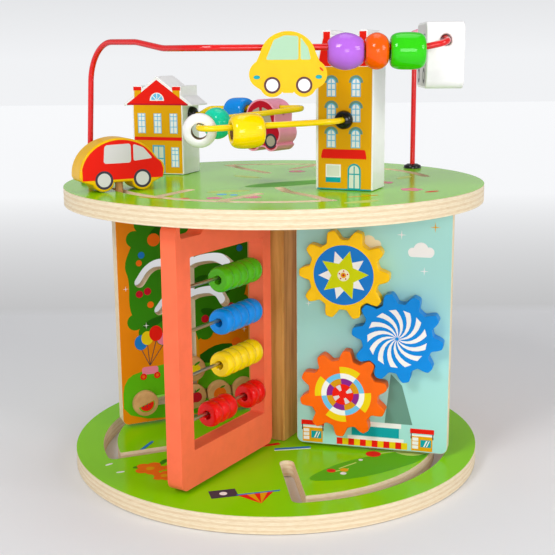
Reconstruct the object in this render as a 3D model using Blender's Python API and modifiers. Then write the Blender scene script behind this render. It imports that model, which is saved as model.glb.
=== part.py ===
# Wooden activity centre: two round boards on a square post, four panels that revolve
# between them, and two bead wires over the top board. Metres and degrees, +Z up,
# origin at the middle of the base's underside, front towards -Y.
import math

import bmesh
import bpy
from mathutils import Matrix, Vector

for old in list(bpy.data.objects):
    bpy.data.objects.remove(old, do_unlink=True)

# Fits
FIT = 0.0003  # gap between pieces that touch
GEAR_RUN = 0.0010  # gap between a gear and its panel

# Round boards and post
DISC_RADIUS = 0.150
DISC_THICK = 0.012
DISC_EDGE = 0.0008
ROOM = 0.181  # between the two boards
POST_SIDE = 0.030
TENON_RADIUS = 0.0080
TENON_LENGTH = 0.0070

# Panels, each on two upright pins at the middle of its width
CROSS_TURN = -28.0  # direction of the first panel's pins
PIVOT_RADIUS = 0.079
PANEL_WIDTH = 0.110
PANEL_THICK = 0.010
PANEL_SPACE = 0.0025  # above and below a panel
PANEL_CORNER = 0.005
PANEL_EDGE = 0.0008
PIN_RADIUS = 0.0020
PIN_SINK = 0.0080  # into the boards and into a panel
GEAR_PANEL_TURN = -15.3  # directions of the panels as they stand, left to right on the front
ABACUS_TURN = 57.9
TREE_PANEL_TURN = 24.0
BACK_PANEL_TURN = 242.0

# Gears
TEETH = 10
GEAR_PITCH_RADIUS = 0.0285
GEAR_TIP = 0.0035  # above and below the pitch circle
GEAR_BACKLASH = 0.0006  # added to the distance of two gears
GEAR_THICK = 0.010
GEAR_SIDE_STEP = 0.038  # sideways distance of two gears in mesh
BLUE_GEAR_ACROSS = 0.0195
BLUE_GEAR_HEIGHT = 0.1007
BLUE_TOOTH_SHIFT = 6.5  # turn of the blue gear from a tooth on the line to the yellow one
AXLE_RADIUS = 0.0040
AXLE_HEAD_RADIUS = 0.0070
AXLE_HEAD_THICK = 0.0025
AXLE_IN_GEAR = 0.0070

# Abacus frame
FRAME_THICK = 0.012
OUTER_STILE = 0.0145
INNER_STILE = 0.0100
TOP_RAIL = 0.0215
BOTTOM_RAIL = 0.0251
FRAME_CORNER = 0.006
NOTCH_WIDTH = 0.026
NOTCH_DEPTH = 0.0085
NOTCH_FROM_END = 0.0050
ROD_RADIUS = 0.0012
ROD_SINK = 0.006
ROD_HEIGHTS = (0.0575, 0.0885, 0.1185, 0.1480)
RING_RADIUS = 0.0090
RING_LENGTH = 0.0087
RING_BORE = 0.0030  # radius
ROW_END_GAP = 0.0037  # from the inner stile to the first bead
RED_ROW_END_GAP = 0.0006
RED_ROW_SPACE = 0.0190  # between the red row's two and three beads

# Tree panel with its fruit tokens
TRACK_WIDTH = 0.0080
CHANNEL_HEIGHT = 0.0310  # middle of the level track
CHANNEL_ENDS = (-0.0430, 0.0452)
TRUNK_ACROSS = 0.0020
TOKEN_RADIUS = 0.0100
TOKEN_THICK = 0.0050
TOKEN_STEM = 0.0035
TOKEN_BACK_RADIUS = 0.0070
TOKEN_BACK_THICK = 0.0030
TOKEN_STEP = 0.0212
LEFT_TOKEN_ACROSS = -0.0375
LAST_TOKEN_ACROSS = 0.0446
TRUNK_TOKEN_HEIGHT = 0.0534

# Slots that are cut through the boards
BASE_SLOT_WIDTH = 0.010
BASE_SLOT_RADIUS = 0.125
BASE_SLOT_INNER = 0.063
BASE_SLOTS = ((-83.3, 26.0), (102.0, 202.0))  # first and last direction
DECK_SLOT_WIDTH = 0.007
DECK_SLOT_RADIUS = 0.116

# Wires and what is threaded on them
WIRE_RADIUS = 0.0020
WIRE_SINK = 0.0095
RED_LEFT_FOOT = (-0.132, -0.005)
RED_RIGHT_FOOT = (0.1106, 0.076)
FRONT_LINE = -0.101
FRONT_RISE = 0.0932  # rise of the red wire's front and back stretches over the top board
BACK_RISE = 0.0984
FOOT_RADIUS = 0.0070
FOOT_HEIGHT = 0.0032
PLUG_RADIUS = 0.0062
PLUG_HEIGHT = 0.0050
BEAD_BORE = 0.0050  # radius
BLOCK_BORE = 0.0036

# Blocks on the top board
TOWER_WIDTH = 0.040
TOWER_DEPTH = 0.0265
TOWER_WALL = 0.081
TOWER_ROOF = 0.101
TOWER_CHIMNEY = 0.104
TOWER_CORNER = (0.0282, -0.0550)
TOWER_TURN = -23.0
TOWER_HOLE = 0.0467
HOUSE_WIDTH = 0.042
HOUSE_DEPTH = 0.030
HOUSE_WALL = 0.0515
HOUSE_RISE = 0.0210
HOUSE_EAVES = 0.0075
HOUSE_CORNER = (-0.0683, 0.0380)
HOUSE_TURN = -20.0
HOUSE_HOLE = 0.0448

# Car that runs in the top board's slot
DECK_CAR_LENGTH = 0.060
DECK_CAR_HEIGHT = 0.0355
DECK_CAR_THICK = 0.020
DECK_CAR_DIRECTION = -155.0  # its place along the slot
DECK_CAR_TURN = 27.0
PEG_RADIUS = 0.0027
PEG_HEAD_RADIUS = 0.0070
PEG_HEAD_THICK = 0.0018
PEG_IN_CAR = 0.0180

TOP_BOARD = DISC_THICK + ROOM  # underside of the top board
DECK = TOP_BOARD + DISC_THICK
FRONT_REACH = DECK + FRONT_RISE
BACK_REACH = DECK + BACK_RISE
PANEL_HEIGHT = ROOM - 2 * PANEL_SPACE
PANEL_FOOT = DISC_THICK + PANEL_SPACE
PANEL_MIDDLE = PANEL_FOOT + PANEL_HEIGHT / 2


def new_collection(name):
    made = bpy.data.collections.new(name)
    bpy.context.scene.collection.children.link(made)
    return made


PIECES = new_collection("activity_centre")
CUTTERS = new_collection("cutters")


def finish(name, red, green, blue, roughness=0.35, metallic=0.0):
    material = bpy.data.materials.new(name)
    material.use_nodes = True
    shader = material.node_tree.nodes["Principled BSDF"]
    shader.inputs["Base Color"].default_value = (red, green, blue, 1.0)
    shader.inputs["Roughness"].default_value = roughness
    shader.inputs["Metallic"].default_value = metallic
    return material


GREEN_PRINT = finish("green_print", 0.30, 0.66, 0.02, 0.15)
BIRCH = finish("birch", 0.80, 0.62, 0.40, 0.5)
PINE = finish("pine_post", 0.55, 0.30, 0.10, 0.5)
STEEL = finish("steel", 0.60, 0.58, 0.52, 0.3, 1.0)
AQUA = finish("aqua_print", 0.38, 0.68, 0.64, 0.3)
ORANGE_PRINT = finish("orange_print", 0.75, 0.20, 0.01, 0.3)
CORAL = finish("coral_paint", 1.0, 0.21, 0.11, 0.35)
RED = finish("red_lacquer", 0.90, 0.01, 0.01, 0.2)
YELLOW = finish("yellow_lacquer", 1.0, 0.60, 0.01, 0.2)
ORANGE = finish("orange_lacquer", 0.95, 0.12, 0.01, 0.2)
BLUE = finish("blue_lacquer", 0.0, 0.25, 0.80, 0.2)
SKY = finish("sky_lacquer", 0.0, 0.32, 0.95, 0.2)
GREEN = finish("green_lacquer", 0.08, 0.62, 0.01, 0.2)
TEAL = finish("teal_lacquer", 0.0, 0.70, 0.40, 0.2)
PURPLE = finish("purple_lacquer", 0.50, 0.18, 0.72, 0.2)
PINK = finish("pink_lacquer", 0.90, 0.30, 0.38, 0.3)
WHITE = finish("white_lacquer", 0.86, 0.86, 0.84, 0.3)
BLACK = finish("black_plastic", 0.01, 0.01, 0.01, 0.3)


def polar(radius, degrees):
    turn = math.radians(degrees)
    return Vector((radius * math.cos(turn), radius * math.sin(turn)))


def arc(middle, radius, start, end, steps):
    points = []
    for i in range(steps + 1):
        points.append(Vector(middle) + polar(radius, start + (end - start) * i / steps))
    return points


def rounded_box(width, height, corner, steps=3):
    x, y = width / 2 - corner, height / 2 - corner
    points = []
    for i, (cx, cy) in enumerate(((x, y), (-x, y), (-x, -y), (x, -y))):
        points += arc((cx, cy), corner, 90 * i, 90 * (i + 1), steps)
    return points


def along(path, width, steps=5):
    # Outline of a band of the given width along a path, with round ends.
    path = [Vector(point) for point in path]
    left, right = [], []
    for i, point in enumerate(path):
        ahead = path[min(i + 1, len(path) - 1)] - path[max(i - 1, 0)]
        side = Vector((-ahead.y, ahead.x)).normalized() * width / 2
        left.append(point + side)
        right.append(point - side)
    first = math.degrees(math.atan2(*reversed(path[1] - path[0])))
    last = math.degrees(math.atan2(*reversed(path[-1] - path[-2])))
    far = arc(path[-1], width / 2, last - 90, last + 90, steps)[1:-1]
    near = arc(path[0], width / 2, first + 90, first + 270, steps)[1:-1]
    return right + far + list(reversed(left)) + near


def mesh_of(piece):
    depsgraph = bpy.context.evaluated_depsgraph_get()
    mesh = bpy.data.meshes.new_from_object(piece.evaluated_get(depsgraph))
    bpy.data.objects.remove(piece, do_unlink=True)
    welded = bmesh.new()
    welded.from_mesh(mesh)
    bmesh.ops.remove_doubles(welded, verts=welded.verts, dist=0.000005)
    welded.to_mesh(mesh)
    welded.free()
    return mesh


def prism(outline, thick, holes=()):
    # Flat piece in its own XY plane, half its thickness to each side.
    curve = bpy.data.curves.new("outline", "CURVE")
    curve.dimensions = "2D"
    curve.fill_mode = "BOTH"
    curve.extrude = thick / 2
    for loop in (outline, *holes):
        spline = curve.splines.new("POLY")
        spline.points.add(len(loop) - 1)
        for point, (x, y) in zip(spline.points, loop):
            point.co = (x, y, 0.0, 1.0)
        spline.use_cyclic_u = True
    piece = bpy.data.objects.new("outline", curve)
    PIECES.objects.link(piece)
    return mesh_of(piece)


def drum(radius, depth, sides=16):
    shape = bmesh.new()
    bmesh.ops.create_cone(shape, cap_ends=True, segments=sides, radius1=radius, radius2=radius, depth=depth)
    mesh = bpy.data.meshes.new("drum")
    shape.to_mesh(mesh)
    shape.free()
    return mesh


def turned(profile, closed=False, steps=14):
    # Profile of (radius, height) points, down the outer side from top to bottom.
    mesh = bpy.data.meshes.new("profile")
    count = len(profile)
    edges = [(i, i + 1) for i in range(count - 1)] + ([(count - 1, 0)] if closed else [])
    mesh.from_pydata([(r, 0.0, z) for r, z in profile], edges, [])
    piece = bpy.data.objects.new("profile", mesh)
    PIECES.objects.link(piece)
    screw = piece.modifiers.new("turn", "SCREW")
    screw.steps = screw.render_steps = steps
    screw.use_merge_vertices = True
    screw.merge_threshold = 0.00001
    return mesh_of(piece)


def set_turn(piece, turn):
    if isinstance(turn, Matrix):
        piece.rotation_euler = turn.to_euler()
    else:
        piece.rotation_euler = [math.radians(angle) for angle in turn]


def put(name, mesh, material, parent=None, place=(0.0, 0.0, 0.0), turn=(0.0, 0.0, 0.0)):
    piece = bpy.data.objects.new(name, mesh)
    PIECES.objects.link(piece)
    piece.data.materials.append(material)
    piece.parent = parent
    piece.location = place
    set_turn(piece, turn)
    return piece


def soften(piece, width, segments=1):
    bevel = piece.modifiers.new("edges", "BEVEL")
    bevel.width = width
    bevel.segments = segments
    bevel.limit_method = "ANGLE"
    bevel.angle_limit = math.radians(50)
    return piece


def cut(piece, mesh, parent=None, place=(0.0, 0.0, 0.0), turn=(0.0, 0.0, 0.0), operation="DIFFERENCE"):
    cutter = bpy.data.objects.new(piece.name + "_cutter", mesh)
    CUTTERS.objects.link(cutter)
    cutter.parent = parent
    cutter.location = place
    set_turn(cutter, turn)
    cutter.hide_render = True
    cutter.display_type = "WIRE"
    boolean = piece.modifiers.new("cut", "BOOLEAN")
    boolean.operation = operation
    boolean.solver = "EXACT"
    boolean.object = cutter


def stand(name, place, degrees):
    # Empty that carries the pieces of one moving body, its axis upright.
    empty = bpy.data.objects.new(name, None)
    empty.empty_display_size = 0.02
    PIECES.objects.link(empty)
    empty.location = place
    empty.rotation_euler = (0.0, 0.0, math.radians(degrees))
    return empty


SIDEWAYS = (0, 90, 0)
UPRIGHT = (90, 0, 0)


def pivot_place(index):
    return polar(PIVOT_RADIUS, CROSS_TURN - 90 * index)


# Round boards, post and pins
def build_base():
    disc = put("base_disc", drum(DISC_RADIUS, DISC_THICK, 72), GREEN_PRINT, place=(0, 0, DISC_THICK / 2))
    soften(disc, DISC_EDGE)
    for first, last in BASE_SLOTS:
        ring = arc((0, 0), BASE_SLOT_RADIUS, first, last, 12)
        cut(disc, prism(along(ring, BASE_SLOT_WIDTH), 3 * DISC_THICK))
        for end in (first, last):
            leg = [polar(BASE_SLOT_INNER, end), polar(BASE_SLOT_RADIUS - 0.001, end)]
            cut(disc, prism(along(leg, BASE_SLOT_WIDTH), 3 * DISC_THICK))
    for index in range(4):
        cut(disc, drum(PIN_RADIUS + FIT, 2 * (PIN_SINK + FIT), 12), place=(*pivot_place(index), DISC_THICK))
    cut(disc, drum(TENON_RADIUS + FIT, 2 * (TENON_LENGTH + FIT), 20), place=(0, 0, DISC_THICK))


def deck_slots():
    radius = DECK_SLOT_RADIUS
    inside = radius - 0.001
    return [
        arc((0, 0), radius, -160, -72, 11),
        [polar(inside, -131), polar(0.077, -137.6)],
        [polar(inside, -107), polar(0.0767, -97.5)],
        [polar(inside, -73), polar(0.0934, -74.5), polar(0.0666, -82.2), polar(0.0452, -85)],
        arc((0, 0), radius, 70, 109, 5),
        [polar(inside, 108.5), polar(0.081, 105.8), polar(0.0493, 95.8)],
        [polar(inside, 70.5), polar(0.099, 73.6), polar(0.0765, 78.7)],
        arc((0, 0), radius - 0.002, 9, 38, 4),
    ]


def build_top():
    disc = put("top_disc", drum(DISC_RADIUS, DISC_THICK, 72), GREEN_PRINT,
               place=(0, 0, TOP_BOARD + DISC_THICK / 2))
    soften(disc, DISC_EDGE)
    for path in deck_slots():
        cut(disc, prism(along(path, DECK_SLOT_WIDTH, 4), 3 * DISC_THICK), place=(0, 0, DECK))
    for index in range(4):
        cut(disc, drum(PIN_RADIUS + FIT, 2 * (PIN_SINK + FIT), 12), place=(*pivot_place(index), TOP_BOARD))
    cut(disc, drum(TENON_RADIUS + FIT, 2 * (TENON_LENGTH + FIT), 20), place=(0, 0, TOP_BOARD))
    for foot in (RED_LEFT_FOOT, RED_RIGHT_FOOT):
        cut(disc, drum(WIRE_RADIUS + FIT, 2 * (WIRE_SINK + FIT), 12), place=(*foot, DECK))


def build_post():
    square = rounded_box(POST_SIDE, POST_SIDE, 0.0012, 1)
    middle = DISC_THICK + ROOM / 2
    post = put("centre_post", prism(square, ROOM - 2 * FIT), PINE, place=(0, 0, middle), turn=(0, 0, CROSS_TURN))
    tenons = drum(TENON_RADIUS, ROOM + 2 * TENON_LENGTH, 20)
    cut(post, tenons, place=(0, 0, middle), operation="UNION")


def build_pins():
    length = 2 * PIN_SINK + PANEL_SPACE
    names = ("gear_panel", "abacus", "tree_panel", "back_panel")
    for index, name in enumerate(names):
        for end, height in (("lower", PANEL_FOOT), ("upper", TOP_BOARD)):
            place = (*pivot_place(index), height - PANEL_SPACE / 2)
            put(f"{name}_{end}_pin", drum(PIN_RADIUS, length, 12), STEEL, place=place)


def panel_carrier(name, index, degrees):
    return stand(name, (*pivot_place(index), 0.0), degrees)


def pin_holes(panel, carrier):
    for height in (PANEL_FOOT, PANEL_FOOT + PANEL_HEIGHT):
        cut(panel, drum(PIN_RADIUS + FIT, 2 * (PIN_SINK + FIT), 12), carrier, (0, 0, height))


def plain_panel(name, material, carrier):
    outline = rounded_box(PANEL_WIDTH, PANEL_HEIGHT, PANEL_CORNER)
    panel = put(name, prism(outline, PANEL_THICK), material, carrier, (0, 0, PANEL_MIDDLE), UPRIGHT)
    soften(panel, PANEL_EDGE)
    pin_holes(panel, carrier)
    return panel


# Gear panel
def gear_outline(tooth_at):
    pitch = 360 / TEETH
    flank = ((GEAR_TIP, 0.0019), (GEAR_TIP - 0.0008, 0.0029), (0.0, 0.0042), (-0.0025, 0.0049), (-GEAR_TIP, 0.0056))
    points = []
    for tooth in range(TEETH):
        middle = tooth_at + tooth * pitch
        for side, rows in ((-1, reversed(flank)), (1, flank)):
            for rise, half in rows:
                radius = GEAR_PITCH_RADIUS + rise
                points.append(polar(radius, middle + side * math.degrees(math.asin(half / radius))))
    return points


def build_gear_panel():
    carrier = panel_carrier("gear_panel_axis", 0, GEAR_PANEL_TURN)
    panel = plain_panel("gear_panel", AQUA, carrier)
    distance = 2 * GEAR_PITCH_RADIUS + GEAR_BACKLASH
    rise = math.sqrt(distance ** 2 - GEAR_SIDE_STEP ** 2)
    slant = math.degrees(math.atan2(rise, GEAR_SIDE_STEP))
    left = BLUE_GEAR_ACROSS - GEAR_SIDE_STEP
    # Each neighbour has a gap where the blue gear has a tooth on their common line.
    pitch = 360 / TEETH
    blue_tooth = 180 - slant + BLUE_TOOTH_SHIFT
    yellow_tooth = -slant - BLUE_TOOTH_SHIFT + pitch / 2
    orange_tooth = slant + (180 + slant - blue_tooth) - pitch / 2
    gears = (("yellow_gear", YELLOW, left, BLUE_GEAR_HEIGHT + rise, yellow_tooth),
             ("blue_gear", BLUE, BLUE_GEAR_ACROSS, BLUE_GEAR_HEIGHT, blue_tooth),
             ("orange_gear", ORANGE, left, BLUE_GEAR_HEIGHT - rise, orange_tooth))
    face = PANEL_THICK / 2 + GEAR_RUN
    back = PANEL_THICK / 2 + FIT
    end = face + AXLE_IN_GEAR
    for name, material, across, height, tooth_at in gears:
        gear = put(name, prism(gear_outline(tooth_at), GEAR_THICK), material, carrier,
                   (across, -face - GEAR_THICK / 2, height), UPRIGHT)
        soften(gear, 0.0009)
        bore = drum(AXLE_RADIUS + FIT, 2 * (AXLE_IN_GEAR + FIT), 14)
        cut(gear, bore, carrier, (across, -face, height), UPRIGHT)
        cut(panel, drum(AXLE_RADIUS + FIT, 3 * PANEL_THICK, 14), carrier, (across, 0, height), UPRIGHT)
        profile = [(0.0, end), (AXLE_RADIUS, end), (AXLE_RADIUS, -back), (AXLE_HEAD_RADIUS, -back),
                   (AXLE_HEAD_RADIUS, -back - AXLE_HEAD_THICK), (0.0, -back - AXLE_HEAD_THICK)]
        put(name + "_axle", turned(profile), BIRCH, carrier, (across, 0, height), UPRIGHT)


# Abacus
def ring_run(count):
    # One run of rings that lie against each other on a rod.
    half = RING_LENGTH / 2
    valley = RING_RADIUS - 0.0030
    length = count * RING_LENGTH
    profile = [(RING_BORE, length / 2)]
    for i in range(count):
        middle = length / 2 - half - i * RING_LENGTH
        profile.append((valley, middle + half))
        profile.append((RING_RADIUS - 0.0008, middle + half * 0.62))
        profile.append((RING_RADIUS, middle))
        profile.append((RING_RADIUS - 0.0008, middle - half * 0.62))
    profile.append((valley, -length / 2))
    profile.append((RING_BORE, -length / 2))
    return turned(profile, closed=True, steps=14)


def build_abacus():
    carrier = panel_carrier("abacus_axis", 1, ABACUS_TURN)
    left = OUTER_STILE - PANEL_WIDTH / 2
    right = PANEL_WIDTH / 2 - INNER_STILE
    low = BOTTOM_RAIL - PANEL_HEIGHT / 2
    high = PANEL_HEIGHT / 2 - TOP_RAIL
    window = [(left, low), (right, low), (right, high), (left, high)]
    outline = rounded_box(PANEL_WIDTH, PANEL_HEIGHT, FRAME_CORNER)
    frame = put("abacus_frame", prism(outline, FRAME_THICK, [window]), CORAL, carrier, (0, 0, PANEL_MIDDLE), UPRIGHT)
    soften(frame, 0.0022, 2)
    pin_holes(frame, carrier)
    notch = rounded_box(NOTCH_WIDTH, 2 * NOTCH_DEPTH, 0.006)
    notch_place = (NOTCH_FROM_END + (NOTCH_WIDTH - PANEL_WIDTH) / 2, 0, PANEL_FOOT + PANEL_HEIGHT)
    cut(frame, prism(notch, 2 * FRAME_THICK), carrier, notch_place, UPRIGHT)
    centre = (left + right) / 2
    length = right - left + 2 * ROD_SINK
    rows = (("red", RED, RED_ROW_END_GAP, RED_ROW_SPACE), ("yellow", YELLOW, ROW_END_GAP, FIT),
            ("blue", SKY, ROW_END_GAP, FIT), ("green", GREEN, ROW_END_GAP, FIT))
    for height, (colour, material, end_gap, space) in zip(ROD_HEIGHTS, rows):
        put(colour + "_row_rod", drum(ROD_RADIUS, length, 10), STEEL, carrier, (centre, 0, height), SIDEWAYS)
        cut(frame, drum(ROD_RADIUS + FIT, length + 2 * FIT, 10), carrier, (centre, 0, height), SIDEWAYS)
        hang = height - (RING_BORE - ROD_RADIUS - FIT)
        pair = right - end_gap - RING_LENGTH
        triple = pair - RING_LENGTH - space - 1.5 * RING_LENGTH
        put(colour + "_bead_pair", ring_run(2), material, carrier, (pair, 0, hang), SIDEWAYS)
        put(colour + "_bead_triple", ring_run(3), material, carrier, (triple, 0, hang), SIDEWAYS)


# Panel with tracks and sliding tokens
def token():
    # Front disc, stem through the track and back disc, with the front towards +Z.
    front = PANEL_THICK / 2 + FIT
    profile = [(0.0, front + TOKEN_THICK), (TOKEN_RADIUS - 0.0008, front + TOKEN_THICK),
               (TOKEN_RADIUS, front + TOKEN_THICK - 0.0008), (TOKEN_RADIUS, front), (TOKEN_STEM, front),
               (TOKEN_STEM, -front), (TOKEN_BACK_RADIUS, -front), (TOKEN_BACK_RADIUS, -front - TOKEN_BACK_THICK),
               (0.0, -front - TOKEN_BACK_THICK)]
    return turned(profile, steps=16)


def tree_tracks():
    trunk = TRUNK_ACROSS
    floor = CHANNEL_HEIGHT
    return [
        [(CHANNEL_ENDS[0], floor), (CHANNEL_ENDS[1], floor)],
        [(trunk, floor + 0.0005), (trunk, 0.148)],
        [(trunk, 0.1355), (0.010, 0.1390), (0.022, 0.1400), (0.030, 0.1380), (0.036, 0.1330)],
        [(trunk, 0.1350), (-0.008, 0.1375), (-0.022, 0.1390), (-0.031, 0.1350), (-0.038, 0.1260)],
        [(trunk, 0.1105), (0.010, 0.1135), (0.020, 0.1140), (0.026, 0.1120), (0.031, 0.1040)],
        [(trunk, 0.1100), (-0.008, 0.1130), (-0.016, 0.1110), (-0.023, 0.1030)],
    ]


def build_tree_panel():
    carrier = panel_carrier("tree_panel_axis", 2, TREE_PANEL_TURN)
    panel = plain_panel("tree_panel", ORANGE_PRINT, carrier)
    for path in tree_tracks():
        cut(panel, prism(along(path, TRACK_WIDTH), 3 * PANEL_THICK), carrier, (0, 0, 0), UPRIGHT)
    last = LAST_TOKEN_ACROSS
    places = (("melon_token", LEFT_TOKEN_ACROSS, CHANNEL_HEIGHT),
              ("lemon_token", TRUNK_ACROSS, TRUNK_TOKEN_HEIGHT),
              ("apple_token", last - 2 * TOKEN_STEP, CHANNEL_HEIGHT),
              ("orange_token", last - TOKEN_STEP, CHANNEL_HEIGHT),
              ("cherry_token", last, CHANNEL_HEIGHT))
    for name, across, height in places:
        put(name, token(), BIRCH, carrier, (across, 0, height), UPRIGHT)


def build_back_panel():
    carrier = panel_carrier("back_panel_axis", 3, BACK_PANEL_TURN)
    plain_panel("back_panel", AQUA, carrier)


# Blocks on the top board
def tower_outline():
    half = TOWER_WIDTH / 2
    top = half - 0.0045
    inner = top - 0.006
    side = [(half, 0.0), (half, TOWER_WALL), (top, TOWER_ROOF - 0.002), (top, TOWER_CHIMNEY),
            (inner, TOWER_CHIMNEY), (inner, TOWER_ROOF)]
    return side + [(-x, z) for x, z in reversed(side)]


def house_outline():
    half = HOUSE_WIDTH / 2
    tip = half + HOUSE_EAVES
    ridge = HOUSE_WALL + HOUSE_RISE
    slope = HOUSE_RISE / tip
    outer, inner = half - 0.0010, half - 0.0085
    side = [(half, 0.0), (half, HOUSE_WALL + 0.0005), (tip, HOUSE_WALL), (tip, HOUSE_WALL + 0.0012),
            (outer, ridge + 0.0012 - slope * outer), (outer, ridge - 0.006), (inner, ridge - 0.006),
            (inner, ridge + 0.0012 - slope * inner)]
    return side + [(0.0, ridge + 0.0012)] + [(-x, z) for x, z in reversed(side)]


def block_side(corner, degrees, width, depth, across, ahead):
    # A place on a block: across from the middle of its width, ahead of the middle of its depth.
    # The corner is the front one on the given side of the block.
    middle = Vector(corner) + polar(width / 2, degrees) + polar(depth / 2, degrees + 90)
    return middle + polar(across, degrees) + polar(ahead, degrees - 90)


def tower_place(across=0.0, ahead=0.0):
    return block_side(TOWER_CORNER, TOWER_TURN, TOWER_WIDTH, TOWER_DEPTH, across, ahead)


def house_place(across=0.0, ahead=0.0):
    return block_side(HOUSE_CORNER, HOUSE_TURN, -HOUSE_WIDTH, HOUSE_DEPTH, across, ahead)


def build_blocks():
    place = (*tower_place(), DECK + FIT)
    tower = put("tower_block", prism(tower_outline(), TOWER_DEPTH), WHITE, None, place, (90, 0, TOWER_TURN))
    place = (*house_place(), DECK + FIT)
    house = put("house_block", prism(house_outline(), HOUSE_DEPTH), WHITE, None, place, (90, 0, HOUSE_TURN))
    return tower, house


# Wires
def bent(points, steps=5):
    # Points of a wire through corners, each given with its radius and rounded where it fits.
    route = [Vector(points[0][0])]
    places = [Vector(place) for place, _ in points]
    for i in range(1, len(points) - 1):
        before, corner, after = places[i - 1:i + 2]
        back = (before - corner).normalized()
        ahead = (after - corner).normalized()
        opening = back.angle(ahead)
        room = 0.49 * min((before - corner).length, (after - corner).length)
        reach = min(points[i][1] / math.tan(opening / 2), room)
        middle = corner + (back + ahead).normalized() * reach / math.cos(opening / 2)
        start = corner + back * reach - middle
        count = max(2, round(steps * (math.pi - opening) / 1.3))
        for j in range(count + 1):
            turn = Matrix.Rotation((opening - math.pi) * j / count, 3, back.cross(ahead))
            route.append(middle + turn @ start)
    route.append(places[-1])
    return route


def wire(name, route, material):
    curve = bpy.data.curves.new(name, "CURVE")
    curve.dimensions = "3D"
    curve.bevel_depth = WIRE_RADIUS
    curve.bevel_resolution = 2
    curve.use_fill_caps = True
    spline = curve.splines.new("POLY")
    spline.points.add(len(route) - 1)
    for point, place in zip(spline.points, route):
        point.co = (*place, 1.0)
    put(name, curve, material)


def red_route():
    sunk = DECK - WIRE_SINK
    left_x, left_y = RED_LEFT_FOOT
    right_x, right_y = RED_RIGHT_FOOT
    bend_height = (FRONT_REACH + BACK_REACH) / 2
    return bent((
        ((left_x, left_y, sunk), 0),
        ((left_x, left_y, DECK + 0.0100), 0.030),
        ((left_x + 0.0050, left_y - 0.0010, FRONT_REACH + 0.0055), 0.028),
        ((-0.0900, -0.0505, FRONT_REACH + 0.0046), 0.060),
        ((-0.0700, -0.0745, FRONT_REACH + 0.0002), 0.060),
        ((-0.0480, FRONT_LINE, FRONT_REACH), 0.045),
        ((0.0950, FRONT_LINE, FRONT_REACH), 0.010),
        ((right_x - 0.0026, FRONT_LINE, bend_height), 0.012),
        ((right_x - 0.0024, FRONT_LINE + 0.0150, BACK_REACH), 0.010),
        ((right_x, right_y, BACK_REACH), 0.014),
        ((right_x, right_y, sunk), 0),
    ))


def yellow_route():
    high = DECK + TOWER_HOLE
    low = DECK + HOUSE_HOLE
    return bent((
        ((*tower_place(0, TOWER_DEPTH / 2 - WIRE_SINK), high), 0),
        ((*tower_place(0, TOWER_DEPTH / 2 + 0.0185), high), 0.016),
        ((-0.0468, -0.1053, 0.2490), 0.008),
        ((-0.0468, -0.0578, 0.2515), 0.026),
        ((0.0254, -0.0157, 0.2575), 0.007),
        ((-0.0480, 0.0399, 0.2550), 0.020),
        ((*house_place(HOUSE_WIDTH / 2 + 0.0075, 0), low), 0.008),
        ((*house_place(HOUSE_WIDTH / 2 - WIRE_SINK, 0), low), 0),
    ))


def pointing(direction):
    # Turn that lays X along a direction and keeps Z as upright as it can be.
    ahead = direction.normalized()
    side = Vector((0, 0, 1)).cross(ahead).normalized()
    return Matrix((ahead, side, ahead.cross(side))).transposed()


def place_on(route, x, y, reach=0.008):
    # Point of a wire nearest to x, y in plan, and its direction there.
    best = None
    for start, end in zip(route, route[1:]):
        run = (end - start).xy
        if run.length < 0.0005:
            continue
        share = min(1.0, max(0.0, (Vector((x, y)) - start.xy).dot(run) / run.length_squared))
        point = start.lerp(end, share)
        gap = (point.xy - Vector((x, y))).length
        if best is None or gap < best[0]:
            best = (gap, point, end - start)
    return best[1], best[2]


def build_wires(tower, house):
    red = red_route()
    yellow = yellow_route()
    wire("red_wire", red, RED)
    wire("yellow_wire", yellow, YELLOW)
    bore = WIRE_RADIUS + FIT
    dome = [(bore, FOOT_HEIGHT), (bore + 0.0016, FOOT_HEIGHT), (FOOT_RADIUS - 0.0012, FOOT_HEIGHT * 0.7),
            (FOOT_RADIUS, 0.0), (bore, 0.0)]
    for name, foot in (("left_wire_foot", RED_LEFT_FOOT), ("right_wire_foot", RED_RIGHT_FOOT)):
        put(name, turned(dome, True), BLACK, None, (*foot, DECK + FIT))
    dome = [(bore, PLUG_HEIGHT), (PLUG_RADIUS - 0.0026, PLUG_HEIGHT), (PLUG_RADIUS - 0.0005, PLUG_HEIGHT * 0.6),
            (PLUG_RADIUS, 0.0), (bore, 0.0)]
    for name, block, first, second in (("tower_wire_plug", tower, yellow[0], yellow[1]),
                                       ("house_wire_plug", house, yellow[-1], yellow[-2])):
        out = second - first
        out.z = 0.0
        out.normalize()
        turn = Vector((0, 0, 1)).rotation_difference(out).to_matrix()
        cut(block, drum(bore + 0.0002, 2 * WIRE_SINK + 2 * FIT, 14), None, first + out * WIRE_SINK, turn)
        put(name, turned(dome, True), BLACK, None, first + out * (WIRE_SINK + FIT), turn)
    return red, yellow


# Beads and vehicles on the wires
def bead(radius, length, fullness):
    # Bored bead; fullness 2 is a ball, more is a barrel.
    rim = BEAD_BORE + 0.0011
    half = length / 2
    profile = [(BEAD_BORE, half)]
    count = 6
    for i in range(count + 1):
        t = -math.cos(math.pi * i / count)
        profile.append((rim + (radius - rim) * (1 - abs(t) ** fullness) ** (1 / fullness), -half * t))
    profile.append((BEAD_BORE, -half))
    return turned(profile, closed=True, steps=16)


def thread(name, mesh, material, route, x, y):
    # Hangs a bead on a wire, with the top of its bore on the wire.
    point, direction = place_on(route, x, y)
    turn = pointing(direction)
    place = point - turn.col[2] * (BEAD_BORE - WIRE_RADIUS - FIT)
    return put(name, mesh, material, None, place, turn @ Matrix.Rotation(math.pi / 2, 3, "Y"))


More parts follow.
